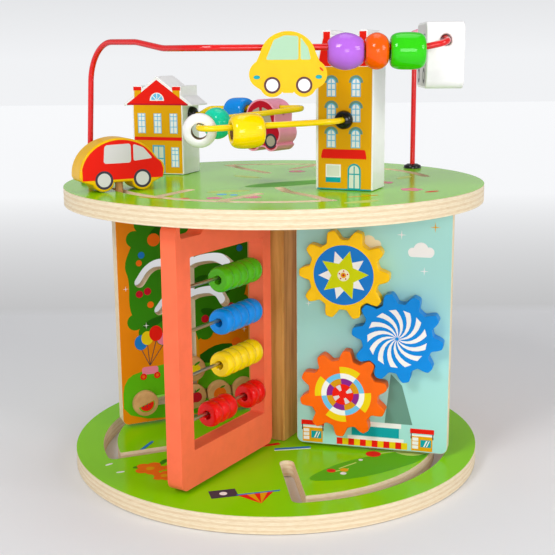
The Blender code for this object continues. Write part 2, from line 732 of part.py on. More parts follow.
def vehicle(name, outline, thick, bore_height, material, route, x, y, facing=1):
    # Hangs a block, whose outline is drawn from its foot, on a wire through its length.
    point, direction = place_on(route, x, y)
    turn = pointing(direction * facing)
    bore_place = point - turn.col[2] * (BLOCK_BORE - WIRE_RADIUS - FIT)
    upright = turn @ Matrix.Rotation(math.pi / 2, 3, "X")
    block = put(name, prism(outline, thick), material, None, bore_place - turn.col[2] * bore_height, upright)
    soften(block, 0.0010)
    cut(block, drum(BLOCK_BORE, 0.08, 14), None, bore_place, turn @ Matrix.Rotation(math.pi / 2, 3, "Y"))
    return block


def car_outline(length, height, wheel, wheel_reach, cabin, belly=0.0030):
    # Two wheel rounds below, a bumper round at each end and a round roof.
    half = length / 2
    end = height * 0.22
    waist = wheel + end * 0.7
    roof = cabin / 2
    roof_middle = height - roof * 0.92
    rear = arc((-wheel_reach, wheel), wheel, 205, 335, 5)
    rear[-1].y = belly
    front = arc((wheel_reach, wheel), wheel, 205, 335, 5)
    front[0].y = belly
    points = rear + front
    points += arc((half - end, waist), end, -60, 62, 5)
    for point in arc((0.0, 0.0), 1.0, 12, 168, 9):
        points.append(Vector((point.x * roof, roof_middle + point.y * roof * 0.92)))
    points += arc((end - half, waist), end, 118, 240, 5)
    return points


def domed_outline(length, height, wheel, wheel_reach, belly):
    # Two wheel rounds below, one long dome from the rear and a low round nose.
    half = length / 2
    tail, nose, sill = 0.0045, 0.0075, 0.0110
    rear = arc((-wheel_reach, wheel), wheel, 205, 335, 5)
    rear[-1].y = belly
    front = arc((wheel_reach, wheel), wheel, 205, 335, 5)
    front[0].y = belly
    points = rear + front + arc((half - nose, sill + 0.0025), nose, -60, 72, 5)
    long, tall = half - 0.0015, height - sill
    for point in arc((0.0, 0.0), 1.0, 26, 172, 10):
        points.append(Vector((point.x * long - 0.0015, sill + point.y * tall)))
    return points + arc((tail - half, sill), tail, 180, 245, 3)


def block_outline(length, height, corner):
    return [(x, z + height / 2) for x, z in rounded_box(length, height, corner)]


def build_red_wire_pieces(route):
    line = FRONT_LINE
    side = RED_RIGHT_FOOT[0]
    car = car_outline(0.0474, 0.0392, 0.0076, 0.0097, 0.034, 0.0025)
    vehicle("yellow_car", car, 0.021, 0.0284, YELLOW, route, 0.0092, line)
    thread("purple_bead", bead(0.0114, 0.0218, 2.0), PURPLE, route, 0.0447, line)
    thread("orange_bead", bead(0.01125, 0.0144, 2.0), ORANGE, route, 0.0637, line)
    thread("green_bead", bead(0.01135, 0.0216, 4.0), GREEN, route, 0.0827, line)
    vehicle("white_block", block_outline(0.049, 0.0415, 0.006), 0.024, 0.0300, WHITE, route, side, -0.0645)
    thread("pink_bead", bead(0.0115, 0.0190, 2.2), PINK, route, side, 0.0450)


def build_yellow_wire_pieces(route):
    thread("yellow_bead", bead(0.0110, 0.0210, 3.2), YELLOW, route, -0.0168, -0.0962)
    thread("white_bead", bead(0.0110, 0.0100, 2.0), WHITE, route, -0.0467, -0.0880)
    thread("teal_bead", bead(0.0105, 0.0130, 2.0), TEAL, route, -0.0380, -0.0530)
    car = car_outline(0.0340, 0.0370, 0.0070, 0.0082, 0.027)
    vehicle("pink_car", car, 0.020, 0.0290, PINK, route, -0.0040, 0.0045)
    thread("blue_bead", bead(0.0105, 0.0180, 3.5), SKY, route, -0.0260, 0.0210)


# Car on the top board
def build_deck_car():
    carrier = stand("deck_car_axis", (*polar(DECK_SLOT_RADIUS, DECK_CAR_DIRECTION), 0.0), DECK_CAR_TURN)
    belly = 0.0060
    outline = domed_outline(DECK_CAR_LENGTH, DECK_CAR_HEIGHT, 0.0080, 0.0136, belly)
    car = put("deck_car", prism(outline, DECK_CAR_THICK), YELLOW, carrier, (0, 0, DECK + FIT), UPRIGHT)
    soften(car, 0.0012)
    head = TOP_BOARD - FIT
    foot = head - PEG_HEAD_THICK
    belly += DECK + FIT
    top = belly + PEG_IN_CAR
    profile = [(0.0, top), (PEG_RADIUS, top), (PEG_RADIUS, head), (PEG_HEAD_RADIUS, head),
               (PEG_HEAD_RADIUS, foot), (0.0, foot)]
    cut(car, drum(PEG_RADIUS + FIT, 2 * (PEG_IN_CAR + FIT), 14), carrier, (0, 0, belly))
    put("car_peg", turned(profile), BIRCH, carrier)


build_base()
build_top()
build_post()
build_pins()
build_gear_panel()
build_abacus()
build_tree_panel()
build_back_panel()
tower_block, house_block = build_blocks()
red_line, yellow_line = build_wires(tower_block, house_block)
build_red_wire_pieces(red_line)
build_yellow_wire_pieces(yellow_line)
build_deck_car()
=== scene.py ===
# Looks of the wooden activity centre: boards, panels, gears, abacus, blocks, wires and beads.
# Shapes are drawn in millimetres and placed in metres. The front is towards -Y.
import math

import bmesh
import bpy
from mathutils import Matrix, Vector
from mathutils.geometry import tessellate_polygon


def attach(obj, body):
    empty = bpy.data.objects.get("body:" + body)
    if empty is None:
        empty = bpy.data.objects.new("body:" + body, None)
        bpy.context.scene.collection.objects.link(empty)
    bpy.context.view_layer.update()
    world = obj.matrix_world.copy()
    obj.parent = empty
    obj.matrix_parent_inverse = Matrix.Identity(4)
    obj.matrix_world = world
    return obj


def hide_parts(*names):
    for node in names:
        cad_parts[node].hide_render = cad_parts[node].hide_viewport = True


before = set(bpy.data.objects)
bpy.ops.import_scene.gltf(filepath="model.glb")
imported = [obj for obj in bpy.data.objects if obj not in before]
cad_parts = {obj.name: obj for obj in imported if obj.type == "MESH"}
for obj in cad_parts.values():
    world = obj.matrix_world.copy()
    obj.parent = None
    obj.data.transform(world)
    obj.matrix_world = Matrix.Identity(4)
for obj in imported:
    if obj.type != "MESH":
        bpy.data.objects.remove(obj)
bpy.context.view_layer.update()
mm = 0.001


def tone(red, green, blue):
    # Linear colour from the 0 to 255 values seen on a screen.
    values = []
    for value in (red, green, blue):
        share = value / 255
        values.append(share / 12.92 if share < 0.04045 else ((share + 0.055) / 1.055) ** 2.4)
    return (*values, 1.0)


# Outlines, in millimetres
def polar(radius, degrees):
    turn = math.radians(degrees)
    return (radius * math.cos(turn), radius * math.sin(turn))


def arc(x, y, radius, start, end, steps=10):
    points = []
    for i in range(steps + 1):
        px, py = polar(radius, start + (end - start) * i / steps)
        points.append((x + px, y + py))
    return points


def spot(x, y, radius, tall=1.0, steps=20):
    return [(px, y + (py - y) * tall) for px, py in arc(x, y, radius, 0, 360, steps)[:-1]]


def roundBox(width, height, corner, x=0.0, y=0.0, steps=5):
    dx, dy = width / 2 - corner, height / 2 - corner
    points = []
    for i, (cx, cy) in enumerate(((dx, dy), (-dx, dy), (-dx, -dy), (dx, -dy))):
        points += arc(x + cx, y + cy, corner, 90 * i, 90 * i + 90, steps)
    return points


def bar(left, right, low, high):
    return [(left, low), (right, low), (right, high), (left, high)]


def band(path, width, steps=8):
    path = [Vector(point) for point in path]
    left, right = [], []
    for i, point in enumerate(path):
        ahead = path[min(i + 1, len(path) - 1)] - path[max(i - 1, 0)]
        side = Vector((-ahead.y, ahead.x)).normalized() * width / 2
        left.append((point + side)[:])
        right.append((point - side)[:])
    first = math.degrees(math.atan2(*reversed(path[1] - path[0])))
    last = math.degrees(math.atan2(*reversed(path[-1] - path[-2])))
    far = arc(*path[-1], width / 2, last - 90, last + 90, steps)[1:-1]
    near = arc(*path[0], width / 2, first + 90, first + 270, steps)[1:-1]
    return right + far + left[::-1] + near


def eased(outline, times=2):
    # Cuts the corners of a closed outline into smooth curves.
    for _ in range(times):
        points = []
        for i, (x, y) in enumerate(outline):
            nx, ny = outline[(i + 1) % len(outline)]
            points += [(a * x + b * nx, a * y + b * ny) for a, b in ((0.78, 0.22), (0.22, 0.78))]
        outline = points
    return outline


def filleted(outline, reach, steps=5):
    # Rounds each corner of a closed outline, from the given distance before it.
    points = []
    for i in range(len(outline)):
        before, here, after = (Vector(outline[(i + k) % len(outline)]) for k in (-1, 0, 1))
        start = here + (before - here).normalized() * reach
        end = here + (after - here).normalized() * reach
        for j in range(steps + 1):
            t = j / steps
            points.append((start.lerp(here, t).lerp(here.lerp(end, t), t))[:])
    return points


def curved(path, steps=6):
    # Smooth open path through the given points.
    points = [Vector(point) for point in path]
    ends = [2 * points[0] - points[1], *points, 2 * points[-1] - points[-2]]
    route = []
    for a, b, c, d in zip(ends, ends[1:], ends[2:], ends[3:]):
        for i in range(steps):
            t = i / steps
            route.append(0.5 * (2 * b + (c - a) * t + (2 * a - 5 * b + 4 * c - d) * t * t
                                + (3 * b - a - 3 * c + d) * t * t * t))
    route.append(points[-1])
    return route


def star(x, y, radius, inner, points, turn):
    outline = []
    for i in range(points):
        for size, part in ((radius, 0), (inner, 0.5)):
            px, py = polar(size, turn + (i + part) * 360 / points)
            outline.append((x + px, y + py))
    return outline


def wedge(x, y, inner, outer, start, end, steps=8):
    return arc(x, y, outer, start, end, steps) + arc(x, y, inner, end, start, steps)


def moved(outline, x, y, turn=0.0, size=1.0):
    c, s = math.cos(math.radians(turn)) * size, math.sin(math.radians(turn)) * size
    return [(x + c * px - s * py, y + s * px + c * py) for px, py in outline]


def shrunk(outline, inset):
    # Outline drawn in by the inset, for outlines that run anticlockwise.
    points = []
    count = len(outline)
    for i in range(count):
        before, here, after = (Vector(outline[(i + k) % count]) for k in (-1, 0, 1))
        way = (after - before).normalized()
        points.append((here.x - way.y * inset, here.y + way.x * inset))
    return points


# Places: X across the face, Y up it and Z out of it
def placeAt(x, y, z, across=(1, 0, 0), up=(0, 0, 1)):
    right = Vector(across).normalized()
    rise = (Vector(up) - Vector(up).dot(right) * right).normalized()
    place = Matrix((right, rise, right.cross(rise))).transposed().to_4x4()
    place.translation = Vector((x, y, z)) * mm
    return place


def heading(degrees):
    return (*polar(1.0, degrees), 0.0)


def flatAt(x, y, z):
    return placeAt(x, y, z, (1, 0, 0), (0, 1, 0))


def shift(x, y, z=0.0):
    return Matrix.Translation((x * mm, y * mm, z * mm))


def lift(z):
    return shift(0, 0, z)


lying = Matrix.Rotation(math.pi / 2, 4, "Y")
turnedOver = Matrix.Rotation(math.pi, 4, "Y")


def faces(place, thick):
    # Places on the front and the back face of a plate that lies about the given place.
    return place @ lift(thick / 2), place @ turnedOver @ lift(thick / 2)


def newObject(name, data):
    piece = bpy.data.objects.new(name, data)
    bpy.context.scene.collection.objects.link(piece)
    return piece


def meshOf(name, shape):
    mesh = bpy.data.meshes.new(name)
    shape.to_mesh(mesh)
    shape.free()
    return mesh


# Solids
def addPlate(shape, outline, low, high, holes=()):
    loops = [[Vector((x, y, 0)) for x, y in loop] for loop in (outline, *holes)]
    flat = [point for loop in loops for point in loop]
    rows = []
    for z in (low, high):
        rows.append([shape.verts.new(Vector((point.x, point.y, z)) * mm) for point in flat])
    made = []
    if holes:
        for corners in tessellate_polygon(loops):
            for row in rows:
                made.append(shape.faces.new([row[i] for i in corners]))
    else:
        made += [shape.faces.new(row) for row in rows]
    start = 0
    for loop in loops:
        count = len(loop)
        for i in range(count):
            a, b = start + i, start + (i + 1) % count
            made.append(shape.faces.new((rows[0][a], rows[0][b], rows[1][b], rows[1][a])))
        start += count
    bmesh.ops.recalc_face_normals(shape, faces=made)


def finishPiece(name, mesh, material, body, place, replaced=(), slot=None, smooth=35):
    piece = newObject(name, mesh)
    piece.matrix_world = place
    mesh.materials.append(material)
    mesh.shade_smooth()
    mesh.set_sharp_from_angle(angle=math.radians(smooth))
    if replaced:
        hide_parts(*replaced)
    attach(piece, body)
    return piece


def soften(piece, width, segments):
    bevel = piece.modifiers.new("edges", "BEVEL")
    bevel.width = width * mm
    bevel.segments = segments
    bevel.limit_method = "ANGLE"
    bevel.angle_limit = math.radians(40)
    bevel.harden_normals = True


def cutterOf(outlines, low, high):
    shape = bmesh.new()
    for outline in outlines:
        addPlate(shape, outline, low, high)
    return meshOf("cutter", shape)


def roundCutter(radius, length, place, steps):
    # Round bar along the place's Z.
    shape = bmesh.new()
    bmesh.ops.create_cone(shape, cap_ends=True, segments=steps, radius1=radius * mm, radius2=radius * mm,
                          depth=length * mm, matrix=place)
    return meshOf("cutter", shape)


def carved(mesh, cutter):
    # Mesh with the cutter's solids taken away, both in the same coordinates.
    pair = [newObject(name, data) for name, data in (("carved", mesh), ("cutter", cutter))]
    boolean = pair[0].modifiers.new("cut", "BOOLEAN")
    boolean.operation = "DIFFERENCE"
    boolean.solver = "EXACT"
    boolean.use_self = True
    boolean.object = pair[1]
    depsgraph = bpy.context.evaluated_depsgraph_get()
    result = bpy.data.meshes.new_from_object(pair[0].evaluated_get(depsgraph))
    for piece in pair:
        bpy.data.objects.remove(piece, do_unlink=True)
    return result


def plates(name, body, place, material, items, cutter=None, edges=None, **details):
    # One piece from flat solids, each an outline with its low and high face and any holes.
    # The edges are rounded by a bevel's width and its number of segments.
    shape = bmesh.new()
    for item in items:
        addPlate(shape, *item)
    mesh = meshOf(name, shape)
    if cutter:
        mesh = carved(mesh, cutter)
    piece = finishPiece(name, mesh, material, body, place, **details)
    if edges:
        soften(piece, *edges)


layer = {"low": 0.02, "high": 0.05, "step": 0.012, "stagger": 0.0012}


def printed(name, body, place, inks, cutter=None, slot=None):
    # Thin layers of ink on a face: a list of (ink, outlines), the later ones on top.
    for i, (ink, outlines) in enumerate(inks):
        items = [(outline, layer["low"], layer["high"] + layer["step"] * i + layer["stagger"] * (k % 9))
                 for k, outline in enumerate(outlines)]
        plates(f"{name}{ink.name[0].upper()}{ink.name[1:]}{i}", body, place, ink, items, cutter, slot=slot)


def turned(name, body, place, material, profile, steps=48, closed=True, **details):
    # Profile of (radius, height) points turned about the place's Z.
    shape = bmesh.new()
    rings = []
    for radius, height in profile:
        if radius < 0.001:
            rings.append([shape.verts.new((0, 0, height * mm))] * steps)
            continue
        ring = []
        for i in range(steps):
            x, y = polar(radius, 360 * i / steps)
            ring.append(shape.verts.new(Vector((x, y, height)) * mm))
        rings.append(ring)
    pairs = list(zip(rings, rings[1:]))
    if closed:
        pairs.append((rings[-1], rings[0]))
    for upper, lower in pairs:
        for i in range(steps):
            k = (i + 1) % steps
            corners = []
            for vert in (upper[i], lower[i], lower[k], upper[k]):
                if vert not in corners:
                    corners.append(vert)
            if len(corners) > 2:
                shape.faces.new(corners)
    bmesh.ops.recalc_face_normals(shape, faces=shape.faces)
    return finishPiece(name, meshOf(name, shape), material, body, place, **details)


# Materials
def newMaterial(name, colour, roughness, coat=0.0, metallic=0.0, specular=0.12):
    material = bpy.data.materials.new(name)
    material.use_nodes = True
    values = {"Base Color": colour, "Roughness": roughness, "Metallic": metallic, "Coat Weight": coat,
              "Coat Roughness": 0.06, "Specular IOR Level": specular}
    inputs = material.node_tree.nodes["Principled BSDF"].inputs
    for key, value in values.items():
        inputs[key].default_value = value
    return material


def nodeMaker(material):
    tree = material.node_tree

    def make(kind, settings=None, **links):
        node = tree.nodes.new(kind)
        for key, value in (settings or {}).items():
            setattr(node, key, value)
        for key, value in links.items():
            socket = node.inputs[int(key[1:])] if key[0] == "i" and key[1:].isdigit() else node.inputs[key]
            if isinstance(value, bpy.types.NodeSocket):
                tree.links.new(value, socket)
            else:
                socket.default_value = value
        return node

    return make


def shaderOf(material):
    # Node maker, shader inputs and link maker of a material.
    tree = material.node_tree
    return nodeMaker(material), tree.nodes["Principled BSDF"].inputs, tree.links.new


def worked(make, operation, *values):
    numbered = {f"i{k}": value for k, value in enumerate(values)}
    return make("ShaderNodeMath", {"operation": operation}, **numbered).outputs[0]


def mixed(make, factor, first, second, blend="MIX"):
    settings = {"data_type": "RGBA", "blend_type": blend}
    return make("ShaderNodeMix", settings, i0=factor, i6=first, i7=second).outputs[2]


def remapped(make, value, source=(0.0, 1.0), target=(0.0, 1.0)):
    node = make("ShaderNodeMapRange", None, Value=value)
    for key, number in zip(("From Min", "From Max", "To Min", "To Max"), (*source, *target)):
        node.inputs[key].default_value = number
    return node.outputs[0]


def bumped(make, height, strength, distance):
    return make("ShaderNodeBump", None, Height=height, Strength=strength, Distance=distance).outputs["Normal"]


def separated(make, vector, axis):
    return make("ShaderNodeSeparateXYZ", None, Vector=vector).outputs[axis]


def ramp(make, factor, stops):
    node = make("ShaderNodeValToRGB", None, Fac=factor)
    elements = node.color_ramp.elements
    while len(elements) < len(stops):
        elements.new(0.5)
    for element, (position, colour) in zip(elements, stops):
        element.position = position
        element.color = colour
    return node.outputs["Color"]


def grain(make, stretch, scale, detail=4.0):
    # Streaky noise, drawn out along the axes whose stretch is small.
    coordinates = make("ShaderNodeTexCoord").outputs["Object"]
    mapping = make("ShaderNodeMapping", None, Vector=coordinates, Scale=stretch)
    noise = make("ShaderNodeTexNoise", None, Vector=mapping.outputs["Vector"], Scale=scale, Detail=detail,
                 Roughness=0.6)
    return noise.outputs["Fac"]


def lacquer(name, colour, roughness=0.15, coat=0.4, texture=0.03):
    # Sprayed gloss over turned wood: faint mottling and a slight orange-peel.
    material = newMaterial(name, colour, roughness, coat)
    make, inputs, link = shaderOf(material)
    mottle = grain(make, (1, 1, 1), 70.0, 3.0)
    darker = tuple(c * 0.93 for c in colour[:3]) + (1.0,)
    link(ramp(make, mottle, ((0.3, darker), (0.6, colour))), inputs["Base Color"])
    peel = grain(make, (1, 1, 1), 420.0, 2.0)
    link(bumped(make, peel, texture, 0.0004), inputs["Normal"])
    return material


def timber(name, light, dark, stretch=(1, 1, 0.06), scale=160.0):
    material = newMaterial(name, light, 0.5)
    make, inputs, link = shaderOf(material)
    streaks = grain(make, stretch, scale, 6.0)
    link(ramp(make, streaks, ((0.3, dark), (0.62, light))), inputs["Base Color"])
    link(bumped(make, streaks, 0.12, 0.0003), inputs["Normal"])
    return material


def plywood(name, front, back, low, high, roughness=0.4, coat=0.02):
    # Printed faces square to the piece's own Z, and the plies round its edges.
    plies, fade = 7, 0.9
    material = newMaterial(name, front, roughness, coat)
    make, inputs, link = shaderOf(material)
    source = make("ShaderNodeTexCoord")
    height = separated(make, source.outputs["Object"], "Z")
    wobble = grain(make, (1, 1, 1), 30.0, 2.0)
    shifted = worked(make, "MULTIPLY_ADD", wobble, 0.0003, height)
    level = remapped(make, shifted, ((low + 0.3) * mm, (high + 0.3) * mm), (0.0, plies))
    part = worked(make, "FRACT", level)
    odd = worked(make, "PINGPONG", level, 1.0)
    light, tan, glue = tone(240, 226, 198), tone(231, 211, 176), tone(214, 190, 152)
    sheet = ramp(make, odd, ((0.40, light), (0.60, tan)))
    streaks = grain(make, (0.12, 0.12, 1.0), 1500.0, 5.0)
    figure = ramp(make, streaks, ((0.35, tone(226, 204, 170)), (0.6, tone(255, 255, 255))))
    shaded = mixed(make, 0.4, sheet, figure, "MULTIPLY")
    seam = ramp(make, part, ((0.0, (1, 1, 1, 1)), (0.10, (0, 0, 0, 1))))
    edge = mixed(make, seam, shaded, glue)
    tilt = separated(make, source.outputs["Normal"], "Z")
    above = worked(make, "GREATER_THAN", tilt, fade)
    below = worked(make, "LESS_THAN", tilt, -fade)
    link(mixed(make, below, mixed(make, above, edge, front), back), inputs["Base Color"])
    either = worked(make, "ADD", above, below)
    link(remapped(make, either, (0.0, 1.0), (0.55, roughness)), inputs["Roughness"])
    link(bumped(make, streaks, 0.05, 0.0002), inputs["Normal"])
    return material


def ink(name, *colour):
    return newMaterial(name, tone(*colour), 0.4, 0.02, specular=0.06)


white = ink("white", 240, 238, 236)
cream = ink("cream", 240, 232, 200)
ochre = ink("ochre", 214, 150, 20)
mustard = ink("mustard", 228, 164, 10)
lemon = ink("lemon", 235, 205, 20)
limeInk = ink("lime", 205, 212, 10)
leaf = ink("leaf", 52, 132, 12)
darkLeaf = ink("darkLeaf", 30, 96, 8)
grass = ink("grass", 92, 178, 18)
paleGreen = ink("paleGreen", 205, 226, 120)
scarlet = ink("scarlet", 232, 30, 18)
crimson = ink("crimson", 190, 18, 40)
flame = ink("flame", 240, 110, 20)
rose = ink("rose", 238, 130, 160)
violet = ink("violet", 138, 40, 140)
azure = ink("azure", 30, 122, 205)
paleBlue = ink("paleBlue", 110, 190, 232)
aquaInk = ink("aquaInk", 20, 160, 168)
slate = ink("slate", 66, 60, 74)
seaGrey = ink("seaGrey", 104, 146, 132)
pane = ink("pane", 172, 208, 176)
pearl = ink("pearl", 216, 220, 206)
taupe = ink("taupe", 176, 164, 150)
doorBlue = ink("doorBlue", 82, 172, 206)
silver = ink("silver", 214, 208, 212)
tyreBrown = ink("tyreBrown", 96, 58, 62)

boardGreen = tone(138, 214, 0)
bareFace = tone(232, 205, 160)
boardPly = plywood("boardPly", boardGreen, bareFace, 0, 12, 0.2, 0.1)
gearPly = plywood("gearPly", tone(166, 220, 214), tone(240, 150, 90), -5, 5)
treePly = plywood("treePly", tone(228, 132, 4), tone(158, 214, 208), -5, 5)
backPly = plywood("backPly", tone(250, 205, 90), tone(226, 128, 12), -5, 5)
pine = timber("pine", tone(222, 166, 92), tone(168, 106, 42))
birch = timber("birch", tone(218, 172, 116), tone(186, 134, 82), (1, 1, 1), 60.0)
boreWood = timber("boreWood", tone(150, 110, 70), tone(90, 60, 36), (1, 1, 0.2), 90.0)
coral = lacquer("coral", tone(255, 116, 78), 0.4, 0.05, 0.06)
redPaint = lacquer("redPaint", tone(236, 12, 10))
yellowPaint = lacquer("yellowPaint", tone(255, 216, 0), 0.18, 0.6)
carYellow = lacquer("carYellow", tone(240, 192, 0), 0.45, 0.05)
ochrePaint = lacquer("ochrePaint", tone(238, 184, 0), 0.34, 0.1)
gearYellow = lacquer("gearYellow", tone(255, 200, 0), 0.34, 0.12)
gearBlue = lacquer("gearBlue", tone(0, 136, 222), 0.34, 0.12)
gearOrange = lacquer("gearOrange", tone(250, 104, 4), 0.34, 0.12)
orangePaint = lacquer("orangePaint", tone(252, 92, 0))
purplePaint = lacquer("purplePaint", tone(182, 104, 222))
greenPaint = lacquer("greenPaint", tone(48, 205, 8))
abacusGreen = lacquer("abacusGreen", tone(84, 188, 16))
skyPaint = lacquer("skyPaint", tone(0, 140, 235))
tealPaint = lacquer("tealPaint", tone(20, 212, 172))
pinkPaint = lacquer("pinkPaint", tone(250, 158, 184), 0.25, 0.2)
whitePaint = lacquer("whitePaint", tone(243, 241, 240), 0.3, 0.4)
blackCap = newMaterial("blackCap", tone(14, 14, 16), 0.22, 0.5)
redWirePaint = newMaterial("redWirePaint", tone(222, 12, 14), 0.16, 0.8)
yellowWirePaint = newMaterial("yellowWirePaint", tone(250, 212, 0), 0.18, 0.7)
steel = newMaterial("steel", tone(190, 180, 160), 0.28, 0.0, 1.0)
print("materials made")


def keepNode(node, material):
    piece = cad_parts[node]
    piece.data.materials.clear()
    piece.data.materials.append(material)


# Round boards
board = {"radius": 150, "thick": 12, "base": 0, "deck": 193, "edges": (0.8, 2)}
baseSlot = {"width": 10, "radius": 125, "inner": 63, "turns": ((-83.3, 26), (102, 202))}
deckSlot = {"width": 7, "radius": 116}
deckTop = board["deck"] + board["thick"]
seatGap = 0.3
# Low and high ends of a cut through the prints on a face
inkCut = (-1, 2)
baseCuts = []
for first, last in baseSlot["turns"]:
    baseCuts.append(band(arc(0, 0, baseSlot["radius"], first, last, 40), baseSlot["width"]))
    for end in (first, last):
        spoke = [polar(baseSlot["inner"], end), polar(baseSlot["radius"] - 1, end)]
        baseCuts.append(band(spoke, baseSlot["width"]))
far = deckSlot["radius"]
deckPaths = [
    arc(0, 0, far, -160, -72, 36),
    [polar(far - 1, -131), polar(77, -137.6)],
    [polar(far - 1, -107), polar(76.7, -97.5)],
    [polar(far - 1, -73), polar(93.4, -74.5), polar(66.6, -82.2), polar(45.2, -85)],
    arc(0, 0, far, 70, 109, 16),
    [polar(far - 1, 108.5), polar(81, 105.8), polar(49.3, 95.8)],
    [polar(far - 1, 70.5), polar(99, 73.6), polar(76.5, 78.7)],
    arc(0, 0, far - 2, 9, 38, 12),
]
deckCuts = [band(path, deckSlot["width"]) for path in deckPaths]
baseCutter, deckCutter = (cutterOf(cuts, -2, board["thick"] + 2) for cuts in (baseCuts, deckCuts))
rim = arc(0, 0, board["radius"], 0, 360, 180)[:-1]
for name, node, low, cutter in (("baseBoard", "base_disc", board["base"], baseCutter),
                                ("topBoard", "top_disc", board["deck"], deckCutter)):
    plates(name, "stand", flatAt(0, 0, low), boardPly, [(rim, 0, board["thick"])], cutter, board["edges"],
           replaced=(node,), slot="green_print")


def flower(x, y, size, turn=0.0):
    petals = [polar(size, turn + 72 * i) for i in range(5)]
    return [spot(x + px, y + py, size * 0.72) for px, py in petals]


def leafShape(x, y, length, turn):
    half = length / 2
    angles = [math.radians(18 * i) for i in range(20)]
    return moved([(half * math.cos(a), 0.34 * half * math.sin(a)) for a in angles], x, y, turn)


def tile(wide, tall, x, y, turn):
    return moved(bar(-wide, wide, -tall, tall), x, y, turn)


def strip(half, width, x, y, turn):
    return moved(band([(-half, 0), (half, 0)], width), x, y, turn)


def spots(*rows):
    return [spot(*row) for row in rows]


basePrints = [
    (grass, [moved(eased([(-60, 0), (-10, 16), (50, 4), (40, -14), (-20, -18)], 3), 66, -66, 30),
             moved(eased([(-50, 0), (0, 14), (50, -4), (0, -18)], 3), -70, 70, 130)]),
    (paleGreen, [spot(98, -38, 13), spot(88, -30, 8), spot(108, -28, 7), band([(50, -74), (41, -78)], 1.2),
                 band([(56, -63), (44, -73)], 1.2), band([(74, -46), (92, -40)], 1.4)]),
    (leaf, [leafShape(-93, -66, 16, 20), leafShape(-66, -76, 18, -15), leafShape(-80, -58, 12, 70)]),
    (flame, flower(-88, -70, 6.5) + flower(-70, -69, 5.5, 30) + flower(-77, -83, 5.0, 10)
     + [bar(-46 + 9 * i, -41 + 9 * i, -38 + 3 * i, -33 + 3 * i) for i in range(3)]),
    (slate, [tile(9, 6, -35, -114, 14), tile(4, 3, -42, -32, 30), tile(4, 3, -33, -27, 30),
             tile(4, 3, -51, -37, 30)]),
    (scarlet, [moved([(-12, 7), (12, 7), (0, -9)], -12, -121, 14), *spots((70, -47, 5.5), (38, -77, 3.2)),
               tile(7, 2, -4, -27, 20)]),
    (mustard, [moved([(x, 7), (x + 5, 7), (0, -9)], -12, -121, 14) for x in (-6, 3)]
     + spots((-88, -70, 3), (-70, -69, 2.6), (-77, -83, 2.4), (47, -76, 3))),
    (azure, [strip(14, 1.6, -12, -113, 14), strip(12, 3, 12, -34, 8), strip(10, 2.5, -96, -28, 70)]),
    (white, [*spots((-35, -114, 2.6), (46, -82, 2.2)), strip(13, 1.0, 12, -36.5, 8),
             leafShape(-118, -62, 6, 40), leafShape(-108, -76, 6, 20), spot(60, -58, 1.6)]),
]
printed("basePrint", "stand", flatAt(0, 0, board["thick"]), basePrints, baseCutter, "green_print")
deckPrints = [
    (grass, [moved(eased([(-40, 0), (-10, 12), (40, 4), (30, -12), (-20, -14)], 3), 10, -20, 30),
             moved(eased([(-30, 0), (0, 10), (30, -4), (0, -12)], 3), 62, 58, 130),
             moved(eased([(-26, 0), (0, 8), (26, -4), (0, -9)], 3), -112, 30, 80)]),
    (paleGreen, [leafShape(-30, -62, 30, 18), leafShape(54, -118, 26, 30), leafShape(96, 10, 22, 60),
                 leafShape(-20, 24, 26, 140)]),
    (rose, flower(92, -60, 4.5) + flower(78, -20, 4.0, 20) + flower(-14, -92, 3.6) + flower(-38, -96, 3.2, 12)
     + flower(18, 58, 4.0)),
    (mustard, [spot(92, -60, 2.2), spot(78, -20, 2), spot(18, 58, 2), band([(48, -96), (66, -88)], 2.2),
               band([(-86, -88), (-66, -98)], 2.0)]),
    (scarlet, [leafShape(104, -72, 12, 35), leafShape(66, -6, 10, 80), leafShape(-58, -96, 9, 10)]),
    (paleBlue, [spot(-34, -78, 3.4), spot(-26, -81, 2.6), spot(60, 84, 4)]),
]
printed("deckPrint", "stand", flatAt(0, 0, deckTop), deckPrints, deckCutter, "green_print")
print("boards done")

# Post, pins, peg and axles keep the shape they have in the CAD
keepNode("centre_post", pine)
for panelName in ("gear_panel", "abacus", "tree_panel", "back_panel"):
    for end in ("lower", "upper"):
        keepNode(f"{panelName}_{end}_pin", steel)
keepNode("car_peg", birch)
for colourName in ("blue", "yellow", "orange"):
    keepNode(colourName + "_gear_axle", birch)

# Panels
panel = {"width": 110, "low": 14.5, "high": 190.5, "thick": 10, "corner": 5, "pivot": 79, "first": -28,
         "edges": (0.7, 2)}
panelMiddle = (panel["low"] + panel["high"]) / 2
panelOutline = roundBox(panel["width"], panel["high"] - panel["low"], panel["corner"], 0, panelMiddle, 8)


def panelPlace(index, turn):
    x, y = polar(panel["pivot"], panel["first"] - 90 * index)
    return placeAt(x, y, 0, heading(turn))


def panelBoard(name, node, place, material, slot, cutter=None):
    half = panel["thick"] / 2
    plates(name, node, place, material, [(panelOutline, -half, half)], cutter, panel["edges"],
           replaced=(node,), slot=slot)
    return faces(place, panel["thick"])


def spark(x, y, size):
    return star(x, y, size, size * 0.16, 4, 0)


def cloud(x, y, size):
    return [spot(x, y, size), spot(x - size * 1.1, y - size * 0.35, size * 0.62),
            spot(x + size * 1.1, y - size * 0.3, size * 0.68),
            roundBox(size * 3.3, size * 0.9, size * 0.44, x, y - size * 0.55)]


